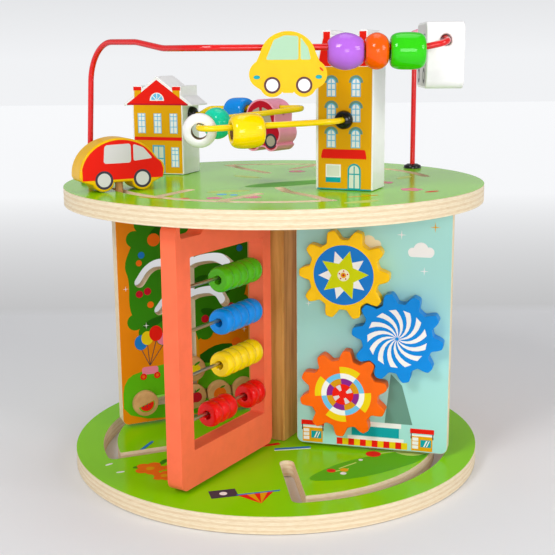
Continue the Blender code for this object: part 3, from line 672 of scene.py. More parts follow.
def kiosk(x, y, width):
    # Little shop front: the parts of one colour each.
    half = width / 2
    return {
        "roof": [bar(x - half, x + half, y + 13, y + 16.5)],
        "wall": [bar(x - half + 1, x + half - 1, y, y + 11)],
        "glass": [bar(x - 1, x + half - 2, y + 3, y + 8.5)],
        "light": [bar(x - half + 2, x - 2.4, y + 1.6, y + 9.5), bar(x - half, x + half, y + 11, y + 12.2),
                  [(x + 1, y + 3.4), (x + 2, y + 3.4), (x + 4, y + 8), (x + 3, y + 8)]],
        "legs": [bar(x - half + 0.4, x - half + 1.2, y + 9, y + 13),
                 bar(x + half - 1.2, x + half - 0.4, y + 9, y + 13)],
    }


gearPlace = panelPlace(0, -15.3)
gearFront, gearBack = panelBoard("gearBoard", "gear_panel", gearPlace, gearPly, "ply_print_blue")
low = panel["low"] + 1.2
leftShop, rightShop = kiosk(-43, low, 17), kiosk(37, low, 17)
gearPanelPrints = [
    (seaGrey, [[(10, low + 19), (30, low + 19), (22, low + 48), (14, low + 56)]]),
    (cream, cloud(-3, 166, 5)),
    (white, cloud(33.5, 162, 5.2) + [spark(20, 172, 3.4), spark(36, 147, 3.2), spark(-46, 120, 2.4)]
     + [bar(-15, 22, low + 15.5, low + 19), bar(-17, 24, low + 5, low + 7.6)] + leftShop["light"]
     + rightShop["light"]),
    (aquaInk, [bar(-14, 20.5, low + 8, low + 15.2)] + leftShop["glass"] + rightShop["glass"]),
    (mustard, [spark(43, 178, 3.6)] + leftShop["wall"] + rightShop["wall"]),
    (scarlet, [bar(-25 + 8.6 * i, -20.7 + 8.6 * i, low, low + 5) for i in range(6)] + leftShop["roof"]
     + rightShop["roof"]),
    (lemon, [bar(-20.7 + 8.6 * i, -16.4 + 8.6 * i, low, low + 5) for i in range(6)]),
    (slate, leftShop["legs"] + rightShop["legs"]),
    (aquaInk, [bar(x - 1, x + 6.5, low + 3, low + 8.5) for x in (-43, 37)]),
    (white, [[(x + 1, low + 3.4), (x + 2, low + 3.4), (x + 4, low + 8), (x + 3, low + 8)] for x in (-43, 37)]
     + [[(x + 3, low + 3.4), (x + 3.7, low + 3.4), (x + 5.7, low + 8), (x + 5, low + 8)] for x in (-43, 37)]
     + [bar(x - 6.8, x - 2.6, low + 1.6 + 3 * i, low + 4 + 3 * i) for x in (-43, 37) for i in range(3)]),
]
printed("gearPanelPrint", "gear_panel", gearFront, gearPanelPrints, slot="ply_print_blue")
printed("gearPanelBack", "gear_panel", gearBack, [
    (leaf, [eased([(-53, 16), (53, 16), (53, 40), (20, 52), (-20, 38), (-53, 46)], 2)]),
    (lemon, [spot(26, 160, 12)] + [spark(-30, 170, 3), spark(-6, 132, 2.6), spark(-40, 104, 2.4)]),
    (scarlet, [[(-22, 60), (22, 60), (0, 96)]]),
    (white, [bar(-17, 17, 38, 60)] + cloud(-26, 148, 5)),
    (aquaInk, [bar(-4, 4, 38, 52), bar(-13, -8, 46, 54), bar(8, 13, 46, 54)]),
], slot="ply_print_blue")

# Gears
gear = {"teeth": 10, "pitch": 28.5, "low": 6, "high": 16, "distance": 57.6, "side": 38, "shift": 6.5,
        "across": 19.5, "height": 100.7, "face": 20.8, "bore": 4.3, "boreDepth": 7.3}
rise = math.sqrt(gear["distance"] ** 2 - gear["side"] ** 2)
slant = math.degrees(math.atan2(rise, gear["side"]))
step = 360 / gear["teeth"]


def gearOutline(toothAt):
    flank = ((3.5, 1.9), (2.7, 2.9), (0.0, 4.2), (-2.5, 4.9), (-3.5, 5.6))
    points = []
    for tooth in range(gear["teeth"]):
        middle = toothAt + tooth * step
        for side, rows in ((-1, reversed(flank)), (1, flank)):
            for out, half in rows:
                radius = gear["pitch"] + out
                points.append(polar(radius, middle + side * math.degrees(math.asin(half / radius))))
    return eased(points, 2)


blueTooth = 180 - slant + gear["shift"]
gearRows = (
    ("yellow", gearYellow, gear["across"] - gear["side"], gear["height"] + rise,
     -slant - gear["shift"] + step / 2),
    ("blue", gearBlue, gear["across"], gear["height"], blueTooth),
    ("orange", gearOrange, gear["across"] - gear["side"], gear["height"] - rise,
     2 * slant + 180 - blueTooth - step / 2),
)
face = gear["face"]
blades = []
for i in range(13):
    start, half = i * 360 / 13 + 20, 360 / 13 * 0.25
    rows = [(face * t, start + 52 * t) for t in (0.06, 0.2, 0.35, 0.5, 0.65, 0.8, 0.93, 1.0)]
    blades.append([polar(r, a - half) for r, a in rows] + [polar(r, a + half) for r, a in rows[::-1]])


def rays(inner, outer, turn, half=22.5):
    return [wedge(0, 0, inner, outer, turn + 90 * i - half, turn + 90 * i + half) for i in range(4)]


gearPrints = {
    "yellow": [(azure, [spot(0, 0, face + 0.4, 1, 64)]), (white, [star(0, 0, 17.8, 8.6, 5, 110)]),
               (limeInk, [star(0, 0, 17.8, 8.6, 5, 75)]), (cream, spots((0, 0, 4.2))),
               (mustard, spots((0, 0, 2))),
               (crimson, spots(*((*polar(3.0, 72 * i + 15), 0.55, 1, 10) for i in range(5)), (0, 0, 0.9)))],
    "blue": [(white, blades)],
    "orange": [(lemon, rays(15.6, 20.4, 75)), (white, rays(11.6, 15.6, 75)),
               (paleBlue, rays(11.6, 15.6, 120)), (violet, rays(7.6, 11.8, 75)),
               (ochre, rays(7.6, 11.8, 120)), (scarlet, spots((0, 0, 7.7, 1, 40))),
               (silver, rays(3.0, 7.3, 120, 15))],
}
for colourName, paint, across, height, toothAt in gearRows:
    place = gearPlace @ shift(across, height)
    body = colourName + "_gear"
    bore = cutterOf([spot(0, 0, gear["bore"], 1, 32)], gear["low"] - 1, gear["low"] + gear["boreDepth"])
    plates(colourName + "Gear", body, place, paint, [(gearOutline(toothAt), gear["low"], gear["high"])], bore,
           (1.1, 3), replaced=(body,), slot=colourName + "_lacquer")
    printed(colourName + "GearPrint", body, place @ lift(gear["high"]), gearPrints[colourName],
            slot=colourName + "_lacquer")
print("gear panel done")

# Abacus
abacus = {"thick": 12, "outer": 14.5, "inner": 10, "top": 21.5, "bottom": 25.1, "corner": 6,
          "notch": (-50, -24, 182)}
abacusPlace = panelPlace(1, 57.9)
side, half = panel["width"] / 2, abacus["thick"] / 2
left, right = -side + abacus["outer"], side - abacus["inner"]
lowSill, highSill = panel["low"] + abacus["bottom"], panel["high"] - abacus["top"]
notchLeft, notchRight, notchFloor = abacus["notch"]
top, bend = panel["high"], abacus["corner"]
frameOutline = [
    *arc(bend - side, panel["low"] + bend, bend, 180, 270, 8),
    *arc(side - bend, panel["low"] + bend, bend, 270, 360, 8),
    *arc(side - bend, top - bend, bend, 0, 90, 8), (notchRight, top),
    *arc(notchRight - bend, notchFloor + bend, bend, 0, -90, 8),
    *arc(notchLeft + 2, notchFloor + 2, 2, -90, -180, 4), (notchLeft, top),
    *arc(5 - side, top - 5, 5, 90, 180, 8)[1:],
]
window = roundBox(right - left, highSill - lowSill, 1.2, (left + right) / 2, (lowSill + highSill) / 2, 3)
plates("abacusFrame", "abacus", abacusPlace, coral, [(frameOutline, -half, half, [window])], edges=(2.0, 4),
       replaced=("abacus_frame",), slot="coral_paint")
rods = {"radius": 1.2, "heights": (57.5, 88.5, 118.5, 148.0), "sink": 6}
ring = {"radius": 9.0, "length": 8.7, "bore": 3.0, "drop": 1.5}
ringRows = (("red", redPaint, 0.6, 19.0), ("yellow", yellowPaint, 3.7, 0.3), ("blue", skyPaint, 3.7, 0.3),
            ("green", abacusGreen, 3.7, 0.3))


def lacquerSlot(colourName):
    return ("sky" if colourName == "blue" else colourName) + "_lacquer"


def ringProfile(count):
    length = count * ring["length"]
    profile = [(ring["bore"], length / 2 - 0.3), (ring["bore"] + 0.4, length / 2)]
    for i in range(count):
        middle = length / 2 - ring["length"] * (i + 0.5)
        for t in (-90, -72, -54, -36, -18, 0, 18, 36, 54, 72, 90):
            out = 6.1 + (ring["radius"] - 6.1) * math.cos(math.radians(t)) ** 0.55 if abs(t) < 90 else 6.1
            if t == -90 and i:
                continue
            profile.append((out, middle - ring["length"] / 2 * math.sin(math.radians(t))))
    profile += [(ring["bore"] + 0.4, -length / 2), (ring["bore"], -length / 2 + 0.3)]
    return profile


for height, (colourName, paint, endGap, space) in zip(rods["heights"], ringRows):
    middle = (left + right) / 2
    place = abacusPlace @ shift(middle, height) @ lying
    half = (right - left) / 2 + rods["sink"]
    rodProfile = [(0, half), (rods["radius"], half), (rods["radius"], -half), (0, -half)]
    turned(colourName + "Rod", "abacus", place, steel, rodProfile, 20, False,
           replaced=(colourName + "_row_rod",), slot="steel")
    pair = right - endGap - ring["length"]
    triple = pair - ring["length"] - space - 1.5 * ring["length"]
    for word, count, across in (("Pair", 2, pair), ("Triple", 3, triple)):
        body = f"{colourName}_bead_{word.lower()}"
        place = abacusPlace @ shift(across, height - ring["drop"]) @ lying
        turned(colourName + "Ring" + word, body, place, paint, ringProfile(count), 48, replaced=(body,),
               slot=lacquerSlot(colourName))
print("abacus done")

# Tree panel
tree = {"track": 8, "floor": 31, "ends": (-43, 45.2), "trunk": 2, "top": 148}
treePlace = panelPlace(2, 24)
trunk = tree["trunk"]
treeTracks = [
    [(tree["ends"][0], tree["floor"]), (tree["ends"][1], tree["floor"])],
    [(trunk, tree["floor"] + 0.5), (trunk, tree["top"])],
    curved([(trunk, 135.5), (10, 139), (22, 140), (30, 138), (36, 133)]),
    curved([(trunk, 135), (-8, 137.5), (-22, 139), (-31, 135), (-38, 126)]),
    curved([(trunk, 110.5), (10, 113.5), (20, 114), (26, 112), (31, 104)]),
    curved([(trunk, 110), (-8, 113), (-16, 111), (-23, 103)]),
]
tracks = [band(path, tree["track"]) for path in treeTracks]
through = panel["thick"] / 2 + 2
treeCutter = cutterOf(tracks, -through, through)
treeFront, treeBack = panelBoard("treeBoard", "tree_panel", treePlace, treePly, "ply_print_orange",
                                 treeCutter)
faceCutter = cutterOf(tracks, *inkCut)


def mirrored(outlines):
    return [[(-x, y) for x, y in outline[::-1]] for outline in outlines]


crown = eased([(-40, 90), (-47, 106), (-46, 128), (-50, 140), (-42, 158), (-34, 172), (-20, 186), (10, 188.5),
               (30, 187), (46, 174), (51, 152), (52, 128), (48, 108), (40, 92), (22, 84), (10, 80), (-6, 82),
               (-22, 80)], 2)
scallops = []
for i in range(0, len(crown), 3):
    x, y = crown[i]
    if abs(x) < 46 and y < 178:
        scallops.append(spot(x, y, 6.4, 1, 18))
balloons = ((-38.5, 79, 5.2), (-33.5, 82, 4.8), (-26.5, 85, 5.6), (-21, 80, 4.8))
treePrints = [
    (grass, [eased([(-54, 15.5), (54, 15.5), (54, 62), (30, 56), (-6, 62), (-30, 58), (-54, 52)], 2)]),
    (darkLeaf, [moved(eased([(-26, 0), (0, 10), (26, 0), (0, -8)], 2), 26, 62, 8)]),
    (leaf, [crown] + scallops),
    (ochre, [eased([(-5, 40), (-3.5, 84), (8, 84), (10, 40)], 1)]),
    (darkLeaf, [leafShape(-20, 166, 22, 30), leafShape(26, 168, 20, -20), leafShape(36, 118, 18, 60),
                leafShape(-28, 94, 18, 20), leafShape(20, 96, 20, 160), leafShape(10, 124, 14, 20)]),
    (flame, spots((-26, 158, 5), (-38, 141, 2.4), (-30, 108, 2.6), (28, 158, 4), (40, 130, 3), (16, 176, 3.4),
                  (44, 88, 3.2), (40, 70, 4))),
    (azure, spots((-36, 147, 2.6), (44, 146, 2.6), (-6, 170, 2.6))),
    (crimson, spots((-38.5, 117, 2.9), (-32, 118.6, 2.9), (14, 92, 3.2), (36, 100, 3), (20, 152, 2.8),
                    (-12, 92, 3))),
    (white, [spark(-30, 185, 2.4), spark(-34, 92, 2.6), spark(47, 80, 2.4), spark(-49, 122, 2.2)]),
    (slate, [band([(-32, 60), (x, y - r)], 0.5, 3) for x, y, r in balloons]),
    (rose, [roundBox(13, 6, 2, -32, 56), spot(-21, 80, 4.8)]),
    (azure, spots((-38.5, 79, 5.2, 1.15))), (lemon, spots((-33.5, 82, 4.8, 1.15))),
    (scarlet, spots((-26.5, 85, 5.4, 1.15), (-37.5, 51.5, 2.6), (-26.5, 51.5, 2.6))),
    (flame, spots((-37.5, 51.5, 1.3), (-26.5, 51.5, 1.3))),
]
printed("treePrint", "tree_panel", treeFront, treePrints, faceCutter, "ply_print_orange")
backCutter = cutterOf(mirrored(tracks), *inkCut)
printed("treeBackPrint", "tree_panel", treeBack, [
    (grass, [eased([(-54, 15.5), (54, 15.5), (54, 50), (24, 62), (-20, 50), (-54, 58)], 2)]),
    (leaf, mirrored([crown])),
    (scarlet, [spot(x, y, 3.4)
               for x, y in ((-30, 160), (26, 166), (38, 120), (-36, 108), (12, 94), (-10, 178))]),
    (lemon, [spark(-46, 92, 3), spark(46, 84, 3), spot(44, 176, 5)]),
    (white, cloud(-38, 74, 4)),
], backCutter, "ply_print_orange")

# Fruit tokens
token = {"radius": 10, "thick": 5, "stem": 3.5, "backRadius": 7, "backThick": 3, "face": 5.3}
tokenEdge, stem, backEdge, neck = (token[key] for key in ("radius", "stem", "backRadius", "face"))
tokenFace, tokenBack = neck + token["thick"], -neck - token["backThick"]
tokenProfile = [
    (0, tokenFace), (tokenEdge - 1.2, tokenFace), (tokenEdge - 0.4, tokenFace - 0.3),
    (tokenEdge, tokenFace - 1.1), (tokenEdge, neck + 0.6), (tokenEdge - 0.5, neck), (stem, neck),
    (stem, -neck), (backEdge, -neck), (backEdge, tokenBack + 0.5), (backEdge - 0.5, tokenBack), (0, tokenBack),
]
fruits = {
    "melon": [(grass, [arc(0, 0, 6.6, 20, -160, 20)]), (scarlet, [arc(0.3, -0.2, 5.6, 20, -160, 20)]),
              (slate, [spot(x, y, 0.45, 1.4, 8)
                       for x, y in ((-2.5, -1.6), (0.4, -2.4), (2.6, -0.6), (0.6, -0.4))])],
    "lemon": [(lemon, [moved(spot(0, 0, 5.6, 0.74, 28), 0, -0.4, 20)]),
              (leaf, [leafShape(2.6, 4.6, 5.5, 30)])],
    "apple": [(crimson, [spot(-1.7, -0.5, 4.2), spot(1.7, -0.5, 4.2)]), (leaf, [leafShape(2.4, 5, 4.6, 35)]),
              (slate, [band([(0, 3), (0.4, 5.6)], 0.7, 3)])],
    "orange": [(flame, [spot(0, -0.4, 5.4, 1, 28)]), (leaf, [leafShape(2.2, 5.2, 4.6, 20)])],
    "cherry": [(crimson, [spot(-2.8, -2.4, 2.9), spot(2.8, -1.8, 2.9)]),
               (leaf, [band([(-2.6, 0), (0.6, 5.4)], 0.6, 3), band([(2.8, 0.6), (0.6, 5.4)], 0.6, 3),
                       leafShape(3.4, 5.2, 4.6, -10)])],
}
row = tree["floor"]
for fruit, across, height in (("melon", -37.5, row), ("lemon", 2, 53.4), ("apple", 2.2, row),
                              ("orange", 23.4, row), ("cherry", 44.6, row)):
    body = fruit + "_token"
    place = treePlace @ shift(across, height)
    turned(fruit + "Token", body, place, birch, tokenProfile, 48, False, replaced=(body,), slot="birch")
    printed(fruit + "Print", body, place @ lift(tokenFace), fruits[fruit], slot="birch")

# Fourth panel at the back, which the photograph doesn't show
backPlace = panelPlace(3, 242)
backFront, backBehind = panelBoard("backBoard", "back_panel", backPlace, backPly, "ply_print_blue")
hills = [eased([(-54, 15.5), (54, 15.5), (54, 58), (20, 76), (-12, 54), (-54, 66)], 2)]
for name, place, sky in (("backPrint", backFront, flame), ("backPrintBehind", backBehind, lemon)):
    printed(name, "back_panel", place, [
        (sky, [wedge(0, 74, 46, 52, 20, 160, 30)]), (azure, [wedge(0, 74, 40, 46, 20, 160, 30)]),
        (white, [wedge(0, 74, 34, 40, 20, 160, 30)] + cloud(-34, 168, 5) + cloud(32, 152, 4.4)),
        (grass, hills), (scarlet, flower(-30, 42, 5) + flower(6, 38, 4.4, 20)),
        (rose, flower(34, 46, 5, 10)), (mustard, [spot(-30, 42, 2.6), spot(6, 38, 2.4), spot(34, 46, 2.6)]),
    ], slot="ply_print_blue")
print("panels done")

# Blocks on the deck
tower = {"width": 40, "depth": 26.5, "wall": 81, "roof": 101, "chimney": 104, "corner": (28.2, -55),
         "turn": -23, "holeAt": 46.4, "holeRadius": 2.5, "holeDepth": 9.8}
house = {"width": 42, "depth": 30, "wall": 51.5, "rise": 21, "eaves": 7.5, "corner": (-68.3, 38), "turn": -20}


def blockFrame(block, side):
    # Middle of a block's foot and its two ways; its corner is the front one on the given side.
    across, away = Vector(polar(1, block["turn"])), Vector(polar(1, block["turn"] + 90))
    middle = Vector(block["corner"]) - side * across * block["width"] / 2 + away * block["depth"] / 2
    return middle, across, away


def blockPlace(block, side):
    middle = blockFrame(block, side)[0]
    return placeAt(middle.x, middle.y, deckTop + seatGap, heading(block["turn"]))


def bothSides(side):
    return side + [(-x, z) for x, z in reversed(side)]


towerHalf = tower["width"] / 2
towerTop = towerHalf - 4.5
towerOutline = bothSides([(towerHalf, 0), (towerHalf, tower["wall"]), (towerTop, tower["roof"] - 2),
                          (towerTop, tower["chimney"]), (towerTop - 6, tower["chimney"]),
                          (towerTop - 6, tower["roof"])])
towerPlace = blockPlace(tower, -1)
towerHole = spot(0, tower["holeAt"], tower["holeRadius"], 1, 20)
half = tower["depth"] / 2
plates("towerBlock", "stand", towerPlace, whitePaint, [(towerOutline, -half, half)],
       cutterOf([towerHole], half - tower["holeDepth"], half + 4), (0.8, 3), replaced=("tower_block",),
       slot="mustard_print")


def archWindow(x, z, width, height):
    # Frame, panes and hood of one window, its foot at z.
    half = width / 2
    shape = bar(x - half, x + half, z, z + height - half)[:2] + arc(x, z + height - half, half, 0, 180, 10)
    glass = shrunk(shape, 0.8)
    hood = wedge(x, z + height - half, half, half + 1.7, 0, 180, 10)
    bars = [bar(x - half, x + half, z + height * t, z + height * t + 0.7) for t in (0.35, 0.66)]
    return shape, glass, hood, [bar(x - 0.35, x + 0.35, z, z + height), *bars]


shapes = [archWindow(x, z, 6.4, 12.2) for x in (-9, 8) for z in (61.4, 45, 28.1)]
innerTower = [(1.8 - towerHalf, 0.8), (towerHalf - 1, 0.8), (towerHalf - 1, tower["wall"] - 0.4),
              (1.8 - towerHalf, tower["wall"] - 0.4)]
doorX, doorHalf = 7.2, 4.6
door = bar(doorX - doorHalf, doorX + doorHalf, 0.8, 13)[:2] + arc(doorX, 13.2, doorHalf, 0, 180, 12)
towerPrints = [
    (mustard, [innerTower]),
    (scarlet, [bothSides([(towerHalf - 1.4, tower["wall"]), (towerTop - 0.6, tower["roof"] - 2.4)]),
               bothSides([(towerTop - 0.8, tower["roof"] - 2.4), (towerTop - 0.8, tower["chimney"] - 1),
                          (towerTop - 5.4, tower["chimney"] - 1), (towerTop - 5.4, tower["roof"] - 2.4)])]),
    (seaGrey, [hood for _, _, hood, _ in shapes]),
    (paleBlue, [shape for shape, _, _, _ in shapes]),
    (white, [glass for _, glass, _, _ in shapes] + [bar(-12.8, -2.2, 5, 17)]),
    (paleBlue, [piece for _, _, _, bars in shapes for piece in bars]),
    (scarlet, [filleted([(-16.4, 21.4), (15.8, 21.4), (14.6, 27), (-15, 27)], 1.2)]
     + [spot(-15.2 + 1.5 * i, 21.4, 0.75, 1, 10) for i in range(21)]),
    (aquaInk, [bar(-12.8, -2.2, 5, 8.4), door, bothSides([(towerHalf - 1, 0.2), (towerHalf - 1, 1.0)])]),
    (pearl, [shrunk(door, 1.2), bar(-11.9, -3.1, 9.2, 16.2)]),
    (aquaInk, [bar(doorX - 0.4, doorX + 0.4, 1, 16), bar(doorX - 4, doorX + 4, 10.4, 11.2)]),
]
printed("towerPrint", "stand", towerPlace @ lift(half), towerPrints, cutterOf([towerHole], *inkCut),
        "mustard_print")

houseHalf = house["width"] / 2
tip = houseHalf + house["eaves"]
ridge = house["wall"] + house["rise"]
slope = house["rise"] / tip
outer, inner = houseHalf - 1.0, houseHalf - 8.5
wall, roofThick = house["wall"], 1.2
houseOutline = bothSides([(houseHalf, 0), (houseHalf, wall + 0.5), (tip, wall), (tip, wall + roofThick),
                          (outer, ridge + roofThick - slope * outer), (outer, ridge - 6), (inner, ridge - 6),
                          (inner, ridge + roofThick - slope * inner), (0.2, ridge + roofThick)])
housePlace = blockPlace(house, 1)
half = house["depth"] / 2
plates("houseBlock", "stand", housePlace, whitePaint, [(houseOutline, -half, half)], edges=(0.7, 3),
       replaced=("house_block",), slot="mustard_print")
paneAt, paneHalf = ((-13.4, 31), (0, 31), (13.4, 31), (14, 5.6)), 3.2
panes = [bar(x - paneHalf, x + paneHalf, z, z + 15) for x, z in paneAt]
gable = [(-tip + 3, wall + 1.4), (tip - 3, wall + 1.4), (0, ridge - 1.4)]
housePrints = [
    (mustard, [bar(1 - houseHalf, houseHalf - 1, 0.8, wall + 1.6),
               bar(-outer + 1, -inner - 0.6, wall, ridge - 9), bar(inner + 0.6, outer - 1, wall, ridge - 9)]),
    (scarlet, [gable, bar(1 - houseHalf, houseHalf - 1, 25.6, 28.2),
               bar(-outer + 0.4, -inner - 0.4, ridge - 9.4, ridge - 6.6),
               bar(inner + 0.4, outer - 0.4, ridge - 9.4, ridge - 6.6)]),
    (crimson, [bar(-tip + 3, tip - 3, wall + 0.6, wall + 1.8)]),
    (paleBlue, panes),
    (white, [shrunk(shape, 0.7) for shape in panes] + [arc(0, wall + 4, 6, 0, 180, 14)]),
    (paleBlue, [arc(0, wall + 4.6, 4.8, 0, 180, 14)] + [bar(x - 0.3, x + 0.3, z, z + 15) for x, z in paneAt]
     + [bar(x - paneHalf, x + paneHalf, z + low, z + high)
        for low, high in ((4.6, 5.2), (9.2, 9.8), (12.4, 13)) for x, z in paneAt]),
    (white, [bar(-0.3, 0.3, wall + 4, wall + 10), band([(0, wall + 4), (4, wall + 8.2)], 0.6, 2),
             band([(0, wall + 4), (-4, wall + 8.2)], 0.6, 2)]),
    (doorBlue, [bar(-4.8, 5.4, 0.8, 22)]),
    (pearl, [bar(-3.6, -0.2, 12.4, 20.8), bar(0.6, 4.2, 12.4, 20.8), bar(-3.6, -0.2, 2, 11.4),
            bar(0.6, 4.2, 2, 11.4)]),
]
printed("housePrint", "stand", housePlace @ lift(half), housePrints, slot="mustard_print")
print("blocks done")

# Wires
wire = {"radius": 2.0, "sink": 9.5, "frontLine": -101, "front": 298.2, "back": 303.4}
leftFoot, rightFoot = (-132, -5), (110.6, 76)


def bent(points, steps=14):
    # Route through the corners, each given with the radius of its bend.
    route = [Vector(points[0][0])]
    places = [Vector(place) for place, _ in points]
    for i in range(1, len(points) - 1):
        before, corner, after = places[i - 1:i + 2]
        back = (before - corner).normalized()
        ahead = (after - corner).normalized()
        opening = back.angle(ahead)
        room = 0.49 * min((before - corner).length, (after - corner).length)
        reach = min(points[i][1] / math.tan(opening / 2), room)
        middle = corner + (back + ahead).normalized() * reach / math.cos(opening / 2)
        start = corner + back * reach - middle
        for j in range(steps + 1):
            turn = Matrix.Rotation((opening - math.pi) * j / steps, 3, back.cross(ahead))
            route.append(middle + turn @ start)
    route.append(places[-1])
    return route


def wireAlong(name, route, material, node, slot):
    curve = bpy.data.curves.new(name, "CURVE")
    curve.dimensions = "3D"
    curve.bevel_depth = wire["radius"] * mm
    curve.bevel_resolution = 5
    curve.use_fill_caps = True
    spline = curve.splines.new("POLY")
    spline.points.add(len(route) - 1)
    for point, place in zip(spline.points, route):
        point.co = (*(place * mm), 1.0)
    holder = newObject(name, curve)
    mesh = bpy.data.meshes.new_from_object(holder.evaluated_get(bpy.context.evaluated_depsgraph_get()))
    bpy.data.objects.remove(holder, do_unlink=True)
    finishPiece(name, mesh, material, "stand", Matrix(), replaced=(node,), slot=slot, smooth=60)


def sideOf(block, side, across, ahead):
    middle, way, away = blockFrame(block, side)
    return (middle + way * across - away * ahead)[:]


sunk = deckTop - wire["sink"]
line, high = wire["frontLine"], wire["back"]
redRoute = bent((
    ((*leftFoot, sunk), 0), ((*leftFoot, deckTop + 10), 30),
    ((leftFoot[0] + 5, leftFoot[1] - 1, wire["front"] + 5.5), 28), ((-90, -50.5, wire["front"] + 4.6), 60),
    ((-70, -74.5, wire["front"] + 0.2), 60), ((-48, line, wire["front"]), 45),
    ((95, line, wire["front"]), 10),
    ((rightFoot[0] - 2.6, line, (wire["front"] + high) / 2), 12), ((rightFoot[0] - 2.4, line + 15, high), 10),
    ((*rightFoot, high), 14), ((*rightFoot, sunk), 0)))
towerHigh, houseHigh = deckTop + 46.7, deckTop + 44.8
yellowRoute = bent((
    ((*sideOf(tower, -1, 0, tower["depth"] / 2 - wire["sink"]), towerHigh), 0),
    ((*sideOf(tower, -1, 0, tower["depth"] / 2 + 18.5), towerHigh), 16), ((-46.8, -105.3, 249), 8),
    ((-46.8, -57.8, 251.5), 26), ((25.4, -15.7, 257.5), 7), ((-48, 39.9, 255), 20),
    ((*sideOf(house, 1, houseHalf + 7.5, 0), houseHigh), 8),
    ((*sideOf(house, 1, houseHalf - wire["sink"], 0), houseHigh), 0)))
wireAlong("redWire", redRoute, redWirePaint, "red_wire", "red_wire")
wireAlong("yellowWire", yellowRoute, yellowWirePaint, "yellow_wire", "yellow_wire")
bore = wire["radius"] + 0.3


def quarter(radius, height, wide, tall, angles):
    # Quarter round of a cap's profile, about the given radius and height.
    turns = [math.radians(a) for a in angles]
    return [(radius + wide * math.sin(a), height + tall * math.cos(a)) for a in turns]


footProfile = [(bore, 3.2), (bore + 1.6, 3.2), *quarter(5.8, 0.6, 1.2, 1.7, (0, 30, 60, 90)), (7.0, 0),
               (bore, 0)]
for name, foot, node in (("leftFoot", leftFoot, "left_wire_foot"),
                         ("rightFoot", rightFoot, "right_wire_foot")):
    turned(name, "stand", flatAt(*foot, deckTop + seatGap), blackCap, footProfile, 40, replaced=(node,),
           slot="black_plastic", smooth=50)
plugProfile = [(bore, 4.4), (bore + 0.5, 5.0), *quarter(3.2, 0.8, 3.0, 4.0, range(15, 91, 15)), (6.2, 0),
               (bore, 0)]
for name, first, second, node in (("towerPlug", yellowRoute[0], yellowRoute[1], "tower_wire_plug"),
                                  ("housePlug", yellowRoute[-1], yellowRoute[-2], "house_wire_plug")):
    out = second - first
    out.z = 0
    out.normalize()
    place = Matrix.Translation((first + out * (wire["sink"] + seatGap)) * mm)
    place = place @ Vector((0, 0, 1)).rotation_difference(out).to_matrix().to_4x4()
    turned(name, "stand", place, blackCap, plugProfile, 40, replaced=(node,), slot="black_plastic", smooth=60)
print("wires done")


def onWire(route, x, y):
    # Nearest point of the wire as seen from above, and its direction there.
    best = None
    for start, end in zip(route, route[1:]):
        run = (end - start).xy
        if run.length < 0.5:
            continue
        share = min(1.0, max(0.0, (Vector((x, y)) - start.xy).dot(run) / run.length_squared))
        point = start.lerp(end, share)
        gap = (point.xy - Vector((x, y))).length
        if best is None or gap < best[0]:
            best = (gap, point, end - start)
    return best[1], best[2].normalized()


# Beads
bead = {"bore": 5.0, "open": 5.25, "lining": 0.13, "blockBore": 3.6, "gap": 0.3}


def threadPlace(route, x, y, holeRadius):
    # Place of a piece hung on a wire: X along the wire, Z up.
    point, ahead = onWire(route, x, y)
    side = Vector((0, 0, 1)).cross(ahead).normalized()
    place = Matrix((ahead, side, ahead.cross(side))).transposed().to_4x4()
    drop = holeRadius - wire["radius"] - bead["gap"]
    place.translation = (point - place.col[2].xyz * drop) * mm
    return place


def beadProfile(radius, length, fullness):
    rim, half = bead["open"] + 0.85, length / 2
    profile = [(bead["open"], -half * 0.94), (bead["open"], half * 0.94)]
    count = 24
    for i in range(count + 1):
        t = math.cos(math.pi * i / count)
        profile.append((rim + (radius - rim) * (1 - abs(t) ** fullness) ** (1 / fullness), half * t))
    return profile


beads = (
    ("purple", redRoute, 44.7, line, 11.4, 21.8, 1.6, purplePaint),
    ("orange", redRoute, 63.7, line, 11.25, 14.4, 1.75, orangePaint),
    ("green", redRoute, 82.7, line, 11.35, 21.6, 3.0, greenPaint),
    ("pink", redRoute, rightFoot[0], 45, 11.5, 19.0, 2.2, pinkPaint),
    ("yellow", yellowRoute, -16.8, -96.2, 11.0, 21.0, 2.8, yellowPaint),
    ("white", yellowRoute, -46.7, -88, 11.0, 10.0, 2.0, whitePaint),
    ("teal", yellowRoute, -38, -53, 10.5, 13.0, 2.0, tealPaint),
    ("blue", yellowRoute, -26, 21, 10.5, 18.0, 3.5, skyPaint),
)
for colourName, route, x, y, radius, length, fullness, paint in beads:
    body = colourName + "_bead"
    place = threadPlace(route, x, y, bead["bore"]) @ lying
    turned(colourName + "Bead", body, place, paint, beadProfile(radius, length, fullness), 64,
           replaced=(body,), slot=lacquerSlot(colourName), smooth=50)
    outer, end = bead["open"] - 0.01, length / 2 * 0.93
    inner = outer - bead["lining"]
    sleeve = [(outer, end), (outer, -end), (inner, -end), (inner, end)]
    turned(colourName + "BeadBore", body, place, boreWood, sleeve, 40)
print("beads done")


# Vehicles
def carOutline(length, height, wheel, reach, cabin, belly=3.0, steps=12):
    half, end = length / 2, height * 0.22
    waist, roof = wheel + end * 0.7, cabin / 2
    roofMiddle = height - roof * 0.92
    rear = arc(-reach, wheel, wheel, 205, 335, steps)
    front = arc(reach, wheel, wheel, 205, 335, steps)
    rear[-1] = (rear[-1][0], belly)
    front[0] = (front[0][0], belly)
    points = rear + front + arc(half - end, waist, end, -60, 62, steps)
    points += [(x * roof, roofMiddle + y * roof * 0.92) for x, y in arc(0, 0, 1, 12, 168, 24)]
    return points + arc(end - half, waist, end, 118, 240, steps)


def wheelPrints(height, reach, outer, inner, rim, hub):
    return [(ring, [spot(x, height, radius, 1, 32) for x in (-reach, reach)])
            for ring, radius in ((rim, outer), (hub, inner))]


